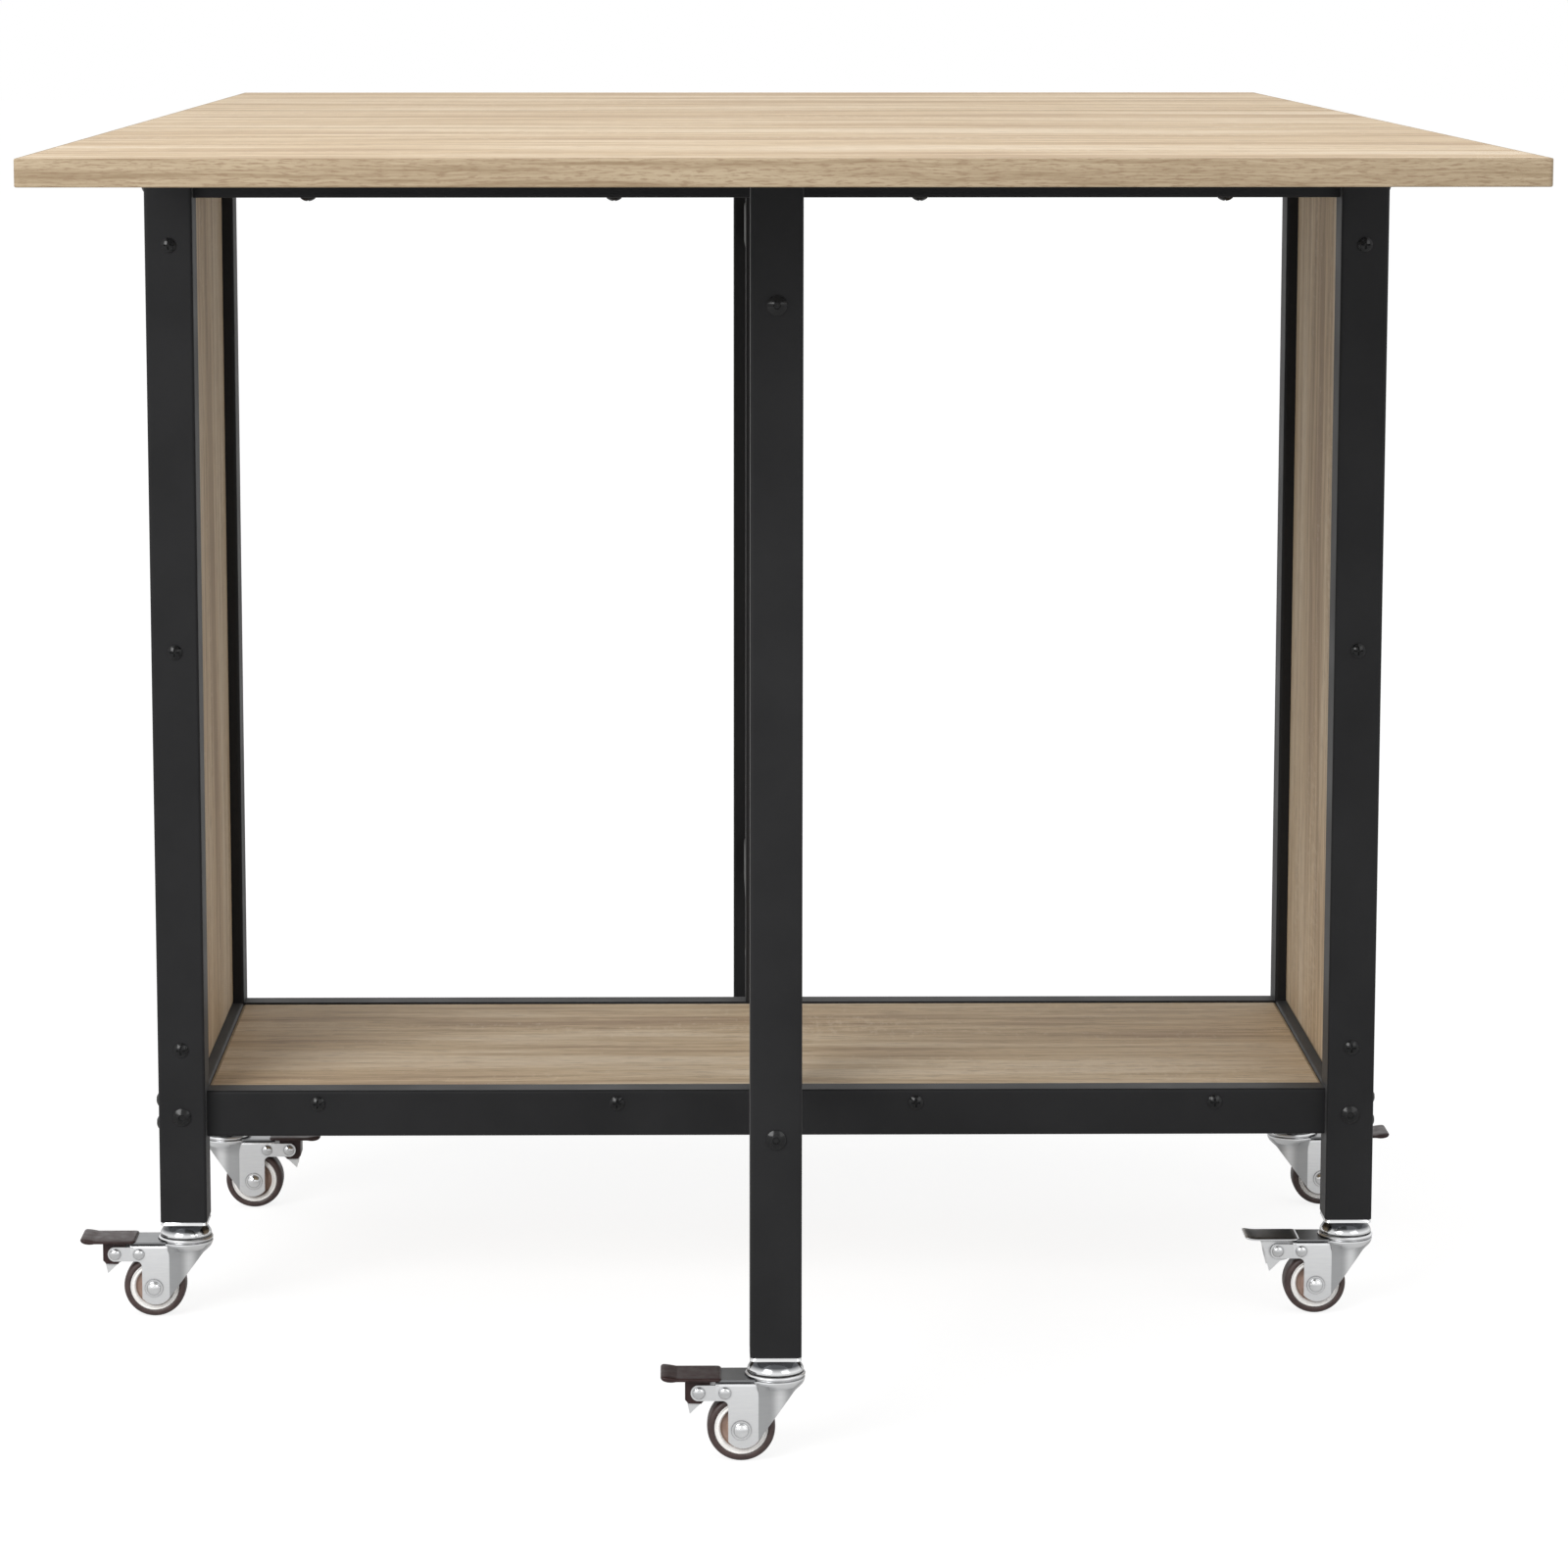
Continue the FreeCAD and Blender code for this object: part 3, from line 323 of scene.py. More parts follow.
def build(name, skins, finishes, body):
    """Puts skins into one mesh, turned outwards, shades it smooth up to a fold and sets it on its body."""
    points, faces, kinds, flat = [], [], [], []
    count = 0
    for skin in skins:
        step = -1 if faces_inwards(skin) else 1
        faces += [(face[::step] + count).tolist() for face in skin["faces"]]
        flat += [] if skin["flat"] is None else [corner[::step] for corner in skin["flat"]]
        kinds += skin["kinds"]
        points.append(skin["points"])
        count += len(skin["points"])
    mesh = bpy.data.meshes.new(name)
    mesh.from_pydata(np.concatenate(points).tolist(), [], faces)
    for finish in finishes:
        mesh.materials.append(finish)
    mesh.polygons.foreach_set("material_index", kinds)
    if flat:
        mesh.uv_layers.new(name="grain").data.foreach_set("uv", np.concatenate(flat).ravel())
    # Each point's painted darkening of zinc, a painted dark reflection, is kept as a point attribute.
    painted_reflection = np.concatenate([skin["painted_reflection"] for skin in skins])
    mesh.attributes.new("painted_reflection", "FLOAT", "POINT").data.foreach_set("value", painted_reflection)
    mesh.shade_smooth()
    mesh.set_sharp_from_angle(angle=FOLD)
    mesh.validate()
    piece = bpy.data.objects.new(name, mesh)
    bpy.context.scene.collection.objects.link(piece)
    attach(piece, body)
    return piece


def rounded_outline(length, width, corner):
    """A closed rectangle whose corners are quarter circles, each swept by its angle, as rows of (x, y)."""
    angle = np.linspace(0, np.pi / 2, ROUND_STEPS)
    turns = angle + np.arange(4)[:, None] * np.pi / 2
    reach = np.array([(1, 1), (-1, 1), (-1, -1), (1, -1)]) * (length / 2 - corner, width / 2 - corner)
    return (reach[:, None] + corner * np.stack([np.cos(turns), np.sin(turns)], axis=2)).reshape(-1, 2)


def board(node, body, axes, shift, back):
    """A board in the place of its CAD node: a rounded outline carried round the edge's profile, a quarter
    circle at each face. axes says which of X, Y, Z run along the grain, across it and through the board;
    shift picks the stretch of printed oak that it was cut from; back is the finish of its lower or left
    face."""
    low, high = (np.array(corner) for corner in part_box(node))
    length, width, thickness = (high - low)[list(axes)]
    turn = np.linspace(0, np.pi / 2, ROUND_STEPS)
    inset = np.concatenate([[2 * EDGE_ROUND], EDGE_ROUND * (1 - np.sin(turn))])
    drop = np.concatenate([[0.0], EDGE_ROUND * (1 - np.cos(turn))])
    inset = np.concatenate([inset, inset[::-1]])
    height = np.concatenate([thickness / 2 - drop, drop[::-1] - thickness / 2])
    outlines = [
        rounded_outline(length - 2 * step, width - 2 * step, max(CORNER_ROUND - step, EDGE_ROUND / 4))
        for step in inset
    ]
    rings = np.array([np.column_stack([line, np.full(len(line), z)]) for line, z in zip(outlines, height)])
    middle = outlines[len(outlines) // 2]
    around = np.vstack([middle, middle[:1]])
    run = np.concatenate([[0.0], np.cumsum(np.linalg.norm(np.diff(around, axis=0), axis=1))])
    climb = np.concatenate([[0.0], np.cumsum(np.hypot(np.diff(inset), np.diff(height)))])
    wrap = np.stack(np.broadcast_arrays(run[None, :], climb[:, None]), axis=2)
    skin = loft(rings, finish=EDGE, wrap=wrap)
    skin["kinds"][-2:] = [FACE, BACK]
    skin["flat"] = [corner + shift for corner in skin["flat"]]
    placed = np.empty_like(skin["points"])
    placed[:, list(axes)] = skin["points"]
    skin["points"] = placed + (low + high) / 2
    piece = build(f"{node}_laminated", [skin], [oak_foil, oak_strip, back], body)
    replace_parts(piece, node)


board("shelf_board", "frame", FLAT_BOARD, (16.2, 1.6), oak_foil)
board("left_side_panel", "frame", UPRIGHT_BOARD, (5.2, 1.9), oak_foil)
board("right_side_panel", "frame", UPRIGHT_BOARD, (6.6, 2.6), oak_foil)
board("centre_board", "frame", FLAT_BOARD, (9.4, 4.1), backing_paper)


# Leaves: two boards of the same oak foil, each hung on three butt hinges and held level by its gate. Once
# the gate is swung in under the centre board, a real leaf can hang down beside the frame.
board("front_leaf_board", "front_leaf", FLAT_BOARD, (12.7, 5.3), backing_paper)
board("rear_leaf_board", "rear_leaf", FLAT_BOARD, (15.9, 6.8), backing_paper)


# Butt hinges: pressed steel wings rolled round a steel pin, zinc plated and passivated, screwed under the
# seams. Zinc passivation is a soft grey metal with a faint cloudy crystal pattern.
ZINC = "#b9bbbd"
ZINC_CLOUDED = "#9fa2a5"
ZINC_ROUGHNESS = (0.28, 0.42)
CRYSTAL_SIZE = 4 * MM

hinge_zinc, tree, shader = new_finish("zinc_plated_hinge_steel")
place = add(tree, "TexCoord").outputs["Object"]
crystal = add(tree, "TexVoronoi", {"Scale": 1 / CRYSTAL_SIZE}, {"Vector": place}, feature="SMOOTH_F1")
from_middle = crystal.outputs["Distance"]
grey = add(tree, "Mix", {6: linear(ZINC), 7: linear(ZINC_CLOUDED)}, {0: from_middle}, data_type="RGBA")
gloss = add(tree, "MapRange", between("To", ZINC_ROUGHNESS), {"Value": from_middle}).outputs["Result"]
feed(tree, shader, {"Metallic": 1.0}, {"Base Color": grey.outputs[2], "Roughness": gloss})
dress(hinge_zinc, "hinge_fixed_wings", "hinge_pins", "front_leaf_hinge_wings", "rear_leaf_hinge_wings")


# Gate leg caps: moulded black polyethylene plugs pressed into the leg tubes, so that the steel never rubs a
# leaf. The mould leaves a fine even grain.
CAP_BLACK = "#1b1b1c"
CAP_GREY = "#242425"
CAP_ROUGHNESS = 0.55
MOULD_GRAIN = 0.8 * MM
MOULD_DEPTH = 0.05 * MM
MOULD_STRENGTH = 0.3

cap_plastic, tree, shader = new_finish("moulded_black_polyethylene")
place = add(tree, "TexCoord").outputs["Object"]
grit = add(tree, "TexNoise", {"Scale": 1 / MOULD_GRAIN, "Detail": 2.0}, {"Vector": place}).outputs["Fac"]
black = add(tree, "Mix", {6: linear(CAP_BLACK), 7: linear(CAP_GREY)}, {0: grit}, data_type="RGBA")
relief = add(tree, "Bump", {"Strength": MOULD_STRENGTH, "Distance": MOULD_DEPTH}, {"Height": grit})
cap_links = {"Base Color": black.outputs[2], "Normal": relief.outputs["Normal"]}
feed(tree, shader, {"Roughness": CAP_ROUGHNESS}, cap_links)
dress(cap_plastic, "front_gate_leg_cap", "rear_gate_leg_cap")


# Castor heads: a square steel plate under each leg with the upper ball race pressed out of it, riveted over
# the kingpin. Bright zinc over pressed steel mirrors its surroundings softly, with faint drawing lines.
# The castors' profiles and outlines are rows of points in millimetres, from the swivel axis and the floor.
CASTOR_TOP = 64 * MM
PLATE_WIDTH = 30 * MM
PLATE_CORNER = 3 * MM
PLATE_THICKNESS = 2.5 * MM
PLATE_EDGE = 0.2 * MM
PLATE_LEAN = 0.4 * MM
RACE = [
    (0.2, 45.6), (6.3, 45.6), (6.5, 45.9), (6.5, 47.5), (6.3, 47.8), (4.0, 47.8), (4.0, 52.7),
    (12.0, 52.7), (15.2, 52.8), (16.1, 53.0), (16.5, 53.5), (16.5, 54.4), (16.3, 55.1), (15.7, 56.2),
    (14.9, 57.4), (14.0, 58.7), (13.1, 59.9), (12.4, 60.8), (12.0, 61.6), (0.2, 61.6),
]
# Above the race's lip its zinc is painted darker over this height, a painted dark reflection.
RACE_LIP = 55.0
RACE_REFLECTION_HEIGHT = 2.4
STEM = [(0.2, 63.9), (5.0, 63.9), (5.0, 83.5), (4.5, 84.0), (0.2, 84.0)]
LATHE_STEPS = 64
BRIGHT_ZINC = "#eceded"
BRIGHT_ZINC_SHADE = "#dfe0e2"
# The grey towards which zinc is painted darker, a painted dark reflection.
PAINTED_REFLECTION_GREY = "#55575a"
BRIGHT_ROUGHNESS = (0.08, 0.18)
SATIN_ROUGHNESS = (0.26, 0.36)
DRAW_LINES = 1.2 * MM
DRAW_STRETCH = (0.15, 0.15, 1.0)
# Painted shade in corners: its grey, how far the occlusion reaches, and the levels between which it fades.
CORNER_SHADE = "#57565a"
SHADE_REACH = 2.5 * MM
SHADE_LEVELS = (0.35, 0.9)


def zinc(name, roughness):
    """Zinc-plated steel: two near silvers mixed by noise drawn out level, which also varies its gloss. It is
    painted darker towards a grey where the piece's point attribute asks, a painted dark reflection, and
    painted darker in corners by ambient occlusion, a painted shade."""
    finish, tree, shader = new_finish(name)
    place = add(tree, "TexCoord").outputs["Object"]
    drawn = add(tree, "Mapping", {"Scale": DRAW_STRETCH}, {"Vector": place}).outputs["Vector"]
    lines = add(tree, "TexNoise", {"Scale": 1 / DRAW_LINES, "Detail": 3.0}, {"Vector": drawn}).outputs["Fac"]
    silvers = {6: linear(BRIGHT_ZINC), 7: linear(BRIGHT_ZINC_SHADE)}
    silver = add(tree, "Mix", silvers, {0: lines}, data_type="RGBA").outputs[2]
    # Painted dark reflection: a point attribute mixes the silver towards a dark grey.
    painted_reflection = add(tree, "Attribute", attribute_name="painted_reflection").outputs["Fac"]
    painted_reflection_colour = add(tree, "Mix", {7: linear(PAINTED_REFLECTION_GREY)}, {0: painted_reflection, 6: silver}, data_type="RGBA").outputs[2]
    # Painted shade: ambient occlusion darkens the zinc in corners and round the rivets and nuts, where shade
    # falls.
    corner = add(tree, "AmbientOcclusion", {"Distance": SHADE_REACH}, samples=CORNER_SAMPLES).outputs["AO"]
    unshaded = add(tree, "MapRange", between("From", SHADE_LEVELS), {"Value": corner}).outputs["Result"]
    corner_shaded = add(tree, "Mix", {6: linear(CORNER_SHADE)}, {0: unshaded, 7: painted_reflection_colour}, data_type="RGBA").outputs[2]
    gloss = add(tree, "MapRange", between("To", roughness), {"Value": lines}).outputs["Result"]
    feed(tree, shader, {"Metallic": 1.0}, {"Base Color": corner_shaded, "Roughness": gloss})
    return finish


# Bright zinc is nearly a mirror, so turned rims and domed heads show light and dark bands; satin zinc, on
# the larger pressings, spreads the same reflections into soft gradients.
bright_zinc = zinc("bright_zinc_plated_steel", BRIGHT_ROUGHNESS)
satin_zinc = zinc("satin_zinc_plated_steel", SATIN_ROUGHNESS)


def lathe(profile, looped=False, finish=0, painted_reflection=0.0):
    """A profile of (radius, height) in millimetres turned about Z: each point becomes a circle."""
    radius, height = np.array(profile, float).T * MM
    angle = np.linspace(0, 2 * np.pi, LATHE_STEPS, endpoint=False)
    circle = np.stack([np.cos(angle), np.sin(angle), np.zeros_like(angle)], axis=1)
    rings = radius[:, None, None] * circle + height[:, None, None] * np.array([0, 0, 1])
    return loft(rings, looped, finish, painted_reflection=painted_reflection)


def at_castor(skin, place):
    """A skin made about the swivel axis, with the wheel towards -X, moved under its leg; the rear castors
    are turned half round."""
    leg = f"{place}_leg" if place in GATES else f"{place}_post"
    low, high = (np.array(corner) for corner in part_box(leg))
    middle = (low + high) / 2
    turn = -1 if middle[1] > 0 else 1
    moved = skin["points"] * (turn, turn, 1) + (middle[0], middle[1], 0)
    return {**skin, "points": moved}


def castor_head_skins():
    """The plate is a rounded square carried up its edge profile, which leans in a little towards the top.
    The race is turned under it, its zinc painted ever darker above its lip as a painted dark reflection, and
    the stem is turned above it."""
    rise = np.array([0, PLATE_EDGE, PLATE_THICKNESS - PLATE_EDGE, PLATE_THICKNESS])
    inset = np.array([PLATE_EDGE, 0, PLATE_LEAN, PLATE_LEAN + PLATE_EDGE])
    rings = []
    for step, z in zip(inset, rise + CASTOR_TOP - PLATE_THICKNESS):
        outline = rounded_outline(PLATE_WIDTH - 2 * step, PLATE_WIDTH - 2 * step, PLATE_CORNER)
        rings.append(np.column_stack([outline, np.full(len(outline), z)]))
    painted_reflection = np.clip((np.array(RACE)[:, 1] - RACE_LIP) / RACE_REFLECTION_HEIGHT, 0, 1)
    return [loft(np.array(rings)), lathe(RACE, painted_reflection=painted_reflection[:, None]), lathe(STEM)]


heads = [at_castor(skin, post) for post in POSTS for skin in castor_head_skins()]
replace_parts(build("post_castor_plates", heads, [bright_zinc], "frame"), "post_castor_heads")
for gate in GATES:
    heads = [at_castor(skin, gate) for skin in castor_head_skins()]
    piece = build(f"{gate}_castor_plate", heads, [bright_zinc], gate)
    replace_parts(piece, f"{gate}_castor_head")


# Castor forks: one pressing of 2 mm steel per castor, in satin zinc. A ringed cup runs on the balls, its
# back wraps round to two flat cheeks that drop to the axle, and an arm on each cheek carries the brake.
# From here to the brake levers, shapes are sized in millimetres.
SHEET = 2.0
SHEET_EDGE = 0.35
SHEET_FOLD = math.radians(50)
CHEEK = 12.0
ROOF = 49.0
ROOF_BEND = 3.2
ROOF_FRONT = -35.0
BEND_STEPS = 6
LUG_MIDDLE = (-19.0, 20.0)
LUG_ROUND = 11.0
LUG_SIDE = -27.6
LUG_STEPS = 25
FILLET = 3.5
FILLET_STEPS = 9
FILLET_GAP = 0.02
ARM_LOW, ARM_HIGH = 37.5, 46.8
ARM_END = (-44.7, 42.2)
ARM_ROUND = 4.8
ARM_SET_IN = 0.04
ARM_SWEEP = (math.radians(176), math.radians(90))
ARM_STEPS = 9
WRAP_START = -10.0
WRAP_REACH = 27.0
WRAP_POWER = 1.35
WRAP_SWEEP = math.radians(86)
WRAP_STEPS = 24
WALL_STEPS = 12
SLOPE_TOP = 49.2
FLARE_START, FLARE_END = 41.0, 49.2
# Painted reflection bands on the fork's back: how dark, the share that stays darkest, and the wave's length.
BACK_REFLECTION_DARKNESS = 0.5
REFLECTION_FLAT = 0.25
REFLECTION_WAVE = 0.45
CUP_RADIUS = 17.2
CUP = [
    (4.3, 49.7), (13.8, 49.7), (14.6, 50.1), (15.0, 51.6), (15.7, 52.3), (16.5, 52.5), (17.2, 52.2),
    (17.6, 51.5), (17.5, 50.9), (17.0, 50.4), (16.5, 50.1), (16.6, 49.8), (17.3, 49.4), (17.4, 48.8),
    (16.6, 47.6), (14.8, 45.8), (12.9, 44.2), (11.6, 44.6), (13.0, 46.4), (13.6, 48.0), (4.3, 48.2),
]


def cheek_foot(x):
    """A cheek's lower edge: an arc about the lug's middle, a plain side, and a fillet to the arm."""
    lug = LUG_MIDDLE[1] - np.sqrt(np.maximum(LUG_ROUND**2 - (x - LUG_MIDDLE[0]) ** 2, 0))
    along = np.clip((x - LUG_SIDE + FILLET) / FILLET, 0, 1)
    fillet = ARM_LOW - FILLET * (1 - np.sqrt(1 - along**2))
    return np.where(x >= LUG_SIDE, lug, fillet)


def fork_channel():
    """Cheeks and roof: an upturned U with bent shoulders carried along X, its feet following the cheeks'
    lower edge. The steps in X lie closest at the fillet and at both ends of the lug."""
    lug_steps = (1 - np.cos(np.linspace(0, np.pi, LUG_STEPS))) / 2
    x = np.concatenate(
        [
            [ROOF_FRONT],
            np.linspace(LUG_SIDE - FILLET, LUG_SIDE - FILLET_GAP, FILLET_STEPS),
            LUG_SIDE + (WRAP_START - LUG_SIDE) * lug_steps,
        ]
    )
    foot = cheek_foot(x)
    bend = np.linspace(np.pi, np.pi / 2, BEND_STEPS)

    def half_arch(side, radius):
        """One leg and shoulder of the U as (y, z): the leg's foot comes first, as a marker to be lowered."""
        y = CHEEK - ROOF_BEND + radius * -np.cos(bend)
        z = ROOF - ROOF_BEND + radius * np.sin(bend)
        return np.column_stack([side * np.concatenate([[y[0]], y]), np.concatenate([[0.0], z])])

    outer = np.vstack([half_arch(-1, ROOF_BEND), half_arch(1, ROOF_BEND)[::-1]])
    inner = np.vstack([half_arch(1, ROOF_BEND - SHEET), half_arch(-1, ROOF_BEND - SHEET)[::-1]])
    arch = np.vstack([outer, inner])
    height = np.where(arch[:, 1] == 0, foot[:, None], arch[:, 1])
    across, along = np.broadcast_arrays(arch[:, 0], x[:, None])
    return loft(np.stack([along, across, height], axis=2) * MM)


def fork_arm(side):
    """A brake arm: a strip of the cheek carried along X, closing to a round end about the outer rivet."""
    swing = np.linspace(*ARM_SWEEP, ARM_STEPS)
    along = np.concatenate([ARM_END[0] + ARM_ROUND * np.cos(swing), [ROOF_FRONT + SHEET]])
    half = np.concatenate([ARM_ROUND * np.sin(swing), [ARM_ROUND]])
    low = np.maximum(ARM_END[1] - half, ARM_LOW)
    high = np.minimum(ARM_END[1] + half, ARM_HIGH)
    near, far = side * (CHEEK - ARM_SET_IN), side * (CHEEK - SHEET + ARM_SET_IN)
    rings = []
    for x, bottom, top in zip(along, low, high):
        rings.append([(x, near, bottom), (x, near, top), (x, far, top), (x, far, bottom)])
    return loft(np.array(rings) * MM)


def fork_back(side):
    """Half of the wrapped back: a quarter superellipse from the cheek to the middle, as tall as the sloping
    lower edge allows, that flares near the top from that curve to the cup's circle. Its zinc is painted
    darkest up to a quarter of the way back and again at seven tenths, with a cosine wave in between:
    painted bands of dark and bright reflection."""
    share = np.sin(np.linspace(0, WRAP_SWEEP, WRAP_STEPS))
    out = CHEEK * (1 - share**WRAP_POWER) ** (1 / WRAP_POWER)
    wrapped = np.column_stack([WRAP_START + WRAP_REACH * share, out])
    ahead = np.gradient(wrapped, axis=0)
    arrow = np.column_stack([-ahead[:, 1], ahead[:, 0]]) / np.linalg.norm(ahead, axis=1, keepdims=True)
    foot_start = cheek_foot(np.array([WRAP_START]))[0]
    foot = foot_start + share * (SLOPE_TOP - foot_start)
    level = foot[:, None] + (FLARE_END - foot)[:, None] * np.linspace(0, 1, WALL_STEPS)
    rise = np.clip((level - FLARE_START) / (FLARE_END - FLARE_START), 0, 1)
    rise = rise**2 * (3 - 2 * rise)
    walls = []
    for depth in (0.0, SHEET):
        wall = wrapped - depth * arrow
        round_wall = (CUP_RADIUS - depth) * wrapped / np.linalg.norm(wrapped, axis=1, keepdims=True)
        flat = wall[:, None] + rise[:, :, None] * (round_wall - wall)[:, None]
        walls.append(np.dstack([flat, level]))
    rings = np.concatenate([walls[0], walls[1][:, ::-1]], axis=1) * (1, side, 1)
    wave = 2 * np.pi * np.maximum(share - REFLECTION_FLAT, 0) / REFLECTION_WAVE
    return loft(rings * MM, painted_reflection=BACK_REFLECTION_DARKNESS * (1 + np.cos(wave[:, None])) / 2)


for place in POSTS + GATES:
    skins = [fork_channel(), fork_arm(-1), fork_arm(1), fork_back(-1), fork_back(1), lathe(CUP, looped=True)]
    skins = [at_castor(skin, place) for skin in skins]
    fork = build(f"{place}_castor_fork", skins, [satin_zinc], f"{place}_swivel")
    rounded = fork.modifiers.new("rounded_sheet_edges", "BEVEL")
    rounded.width = SHEET_EDGE * MM
    rounded.segments = 2
    rounded.limit_method = "ANGLE"
    rounded.angle_limit = SHEET_FOLD
    rounded.harden_normals = True
    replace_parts(fork, f"{place}_fork")


# Axles and rivets: a steel axle bolt with a washer face and a domed nut, and two domed rivets through the
# arms, all zinc plated like the fork that they are closed over.
AXLE = (-20.0, 20.0)
AXLE_ENDS = {"shank": 3.0, "rim": 5.6, "rim_height": 0.9, "dome": 4.3, "dome_height": 2.6}
RIVETS = ((-29.5, 42.2), ARM_END)
RIVET_ENDS = {"shank": 2.0, "rim": 3.6, "rim_height": 0.4, "dome": 3.5, "dome_height": 1.8}
# The rivet domes are painted a little darker, a painted dark reflection.
RIVET_REFLECTION_DARKNESS = 0.2
DOME_SWEEP = math.radians(87)
DOME_STEPS = 8


def cross_turned(profile, x, z, finish=0, looped=False, painted_reflection=0.0):
    """A turned profile of (radius, distance from the middle) laid along Y through a point of the fork."""
    skin = lathe(profile, looped, finish, painted_reflection)
    across = skin["points"][:, [0, 2, 1]] * (1, 1, -1)
    return {**skin, "points": across + np.array([x, 0, z]) * MM}


def pin_profile(shank, rim, rim_height, dome, dome_height):
    """A pin through both cheeks, as (radius, distance from the middle): at each end the shank steps out to a
    flat rim, which carries a dome as a quarter ellipse."""
    angle = np.linspace(0, DOME_SWEEP, DOME_STEPS)
    cap = np.column_stack([dome * np.cos(angle), CHEEK + rim_height + dome_height * np.sin(angle)])
    half = [(shank, CHEEK), (rim, CHEEK), (rim, CHEEK + rim_height)] + cap.tolist()
    return [(radius, -reach) for radius, reach in half[::-1]] + half


for place in POSTS + GATES:
    skins = [cross_turned(pin_profile(**AXLE_ENDS), *AXLE)]
    for rivet in RIVETS:
        skins.append(cross_turned(pin_profile(**RIVET_ENDS), *rivet, painted_reflection=RIVET_REFLECTION_DARKNESS))
    skins = [at_castor(skin, place) for skin in skins]
    build(f"{place}_axle_and_rivets", skins, [bright_zinc], f"{place}_swivel")


# Castor wheels: a dark brown polyurethane tyre cast round a white nylon centre, with a tan hub that turns on
# the axle bolt. The tyre is satin and slightly scuffed where it runs; the nylon is a smooth waxy white.
TYRE_SECTION = [
    (15.8, -8.0), (16.3, -8.4), (17.2, -8.5), (18.2, -8.2), (19.0, -7.6), (19.6, -6.7), (19.85, -5.4),
    (19.95, -3.0), (20.0, 0.0),
]
CENTRE_SECTION = [
    (3.1, -9.2), (6.6, -9.2), (7.2, -8.7), (7.5, -5.4), (8.4, -4.6), (11.4, -5.2), (12.2, -6.6),
    (12.6, -7.7), (13.2, -8.1), (14.0, -7.9), (14.3, -7.7), (14.6, -7.9), (15.2, -8.1), (15.75, -7.6),
    (15.75, 0.0),
]
HUB_BANDS = 6
HUB, RIM = 0, 1
TYRE_BROWN = "#3a2b29"
TYRE_SCUFFED = "#493936"
TYRE_ROUGHNESS = (0.38, 0.55)
SCUFF_SIZE = 5 * MM
NYLON = "#fffefc"
NYLON_SHADE = "#faf7f3"
NYLON_ROUGHNESS = (0.3, 0.4)
HUB_TAN = "#b79e91"
HUB_SHADE = "#a68b7d"
HUB_ROUGHNESS = (0.4, 0.5)
WAX_SIZE = 9 * MM
PLASTIC_LEVELS = (0.35, 0.65)
PLASTIC_DEPTH = 0.04 * MM
PLASTIC_STRENGTH = 0.2
PLASTIC_GLINT = 0.5


def moulded(name, colours, size, roughness, glint=PLASTIC_GLINT):
    """A moulded plastic: two near tones mixed by a cloudy noise of one size, which also varies its gloss and
    leaves a faint relief. glint is how strongly it mirrors."""
    finish, tree, shader = new_finish(name)
    place = add(tree, "TexCoord").outputs["Object"]
    noise = add(tree, "TexNoise", {"Scale": 1 / size, "Detail": 5.0}, {"Vector": place}).outputs["Fac"]
    clouds = add(tree, "MapRange", between("From", PLASTIC_LEVELS), {"Value": noise}).outputs["Result"]
    tones = {6: linear(colours[0]), 7: linear(colours[1])}
    tone = add(tree, "Mix", tones, {0: clouds}, data_type="RGBA").outputs[2]
    gloss = add(tree, "MapRange", between("To", roughness), {"Value": clouds}).outputs["Result"]
    relief = add(tree, "Bump", {"Strength": PLASTIC_STRENGTH, "Distance": PLASTIC_DEPTH}, {"Height": noise})
    links = {"Base Color": tone, "Roughness": gloss, "Normal": relief.outputs["Normal"]}
    feed(tree, shader, {"Specular IOR Level": glint}, links)
    return finish


# The tyre's scuffs break its satin into dull patches; nylon and hub are waxy, with clouds that barely show.
tyre = moulded("cast_brown_polyurethane", (TYRE_BROWN, TYRE_SCUFFED), SCUFF_SIZE, TYRE_ROUGHNESS)
nylon = moulded("moulded_white_nylon", (NYLON, NYLON_SHADE), WAX_SIZE, NYLON_ROUGHNESS)
hub_tan = moulded("moulded_tan_hub", (HUB_TAN, HUB_SHADE), WAX_SIZE, HUB_ROUGHNESS)


def mirrored(half):
    """A wheel's whole section: the half and its mirror image, which share the middle point."""
    return half + [(radius, -reach) for radius, reach in half[-2::-1]]


# The first and last bands of the centre's section, and the bore that closes it, are the tan hub.
centre_bands = np.full(len(mirrored(CENTRE_SECTION)), HUB)
centre_bands[HUB_BANDS : -HUB_BANDS - 1] = RIM
for place in POSTS + GATES:
    body = f"{place}_wheel"
    ring = cross_turned(mirrored(TYRE_SECTION), *AXLE, looped=True)
    piece = build(f"{place}_castor_tyre", [at_castor(ring, place)], [tyre], body)
    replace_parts(piece, f"{place}_tread")
    core = cross_turned(mirrored(CENTRE_SECTION), *AXLE, finish=centre_bands, looped=True)
    piece = build(f"{place}_castor_centre", [at_castor(core, place)], [hub_tan, nylon], body)
    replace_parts(piece, f"{place}_wheel_core")


# Brake levers: a zinc-plated steel pressing on the outer rivet, with a toothed flange inside each fork arm
# and an inner end cut round the swivel. A dark brown plastic shoe covers the tread plate on every castor but
# the front right one, where it is bare steel.
LEVER_TIP, LEVER_ROOT = -66.0, -31.0
LEVER_FLOOR = 49.2
LEVER_HALF = 13.5
BARE_PLATE, SHOD_PLATE = 2.0, 1.2
TAIL_START = -33.0
TAIL_ROUND = 18.0
TAIL_SLICES = 17
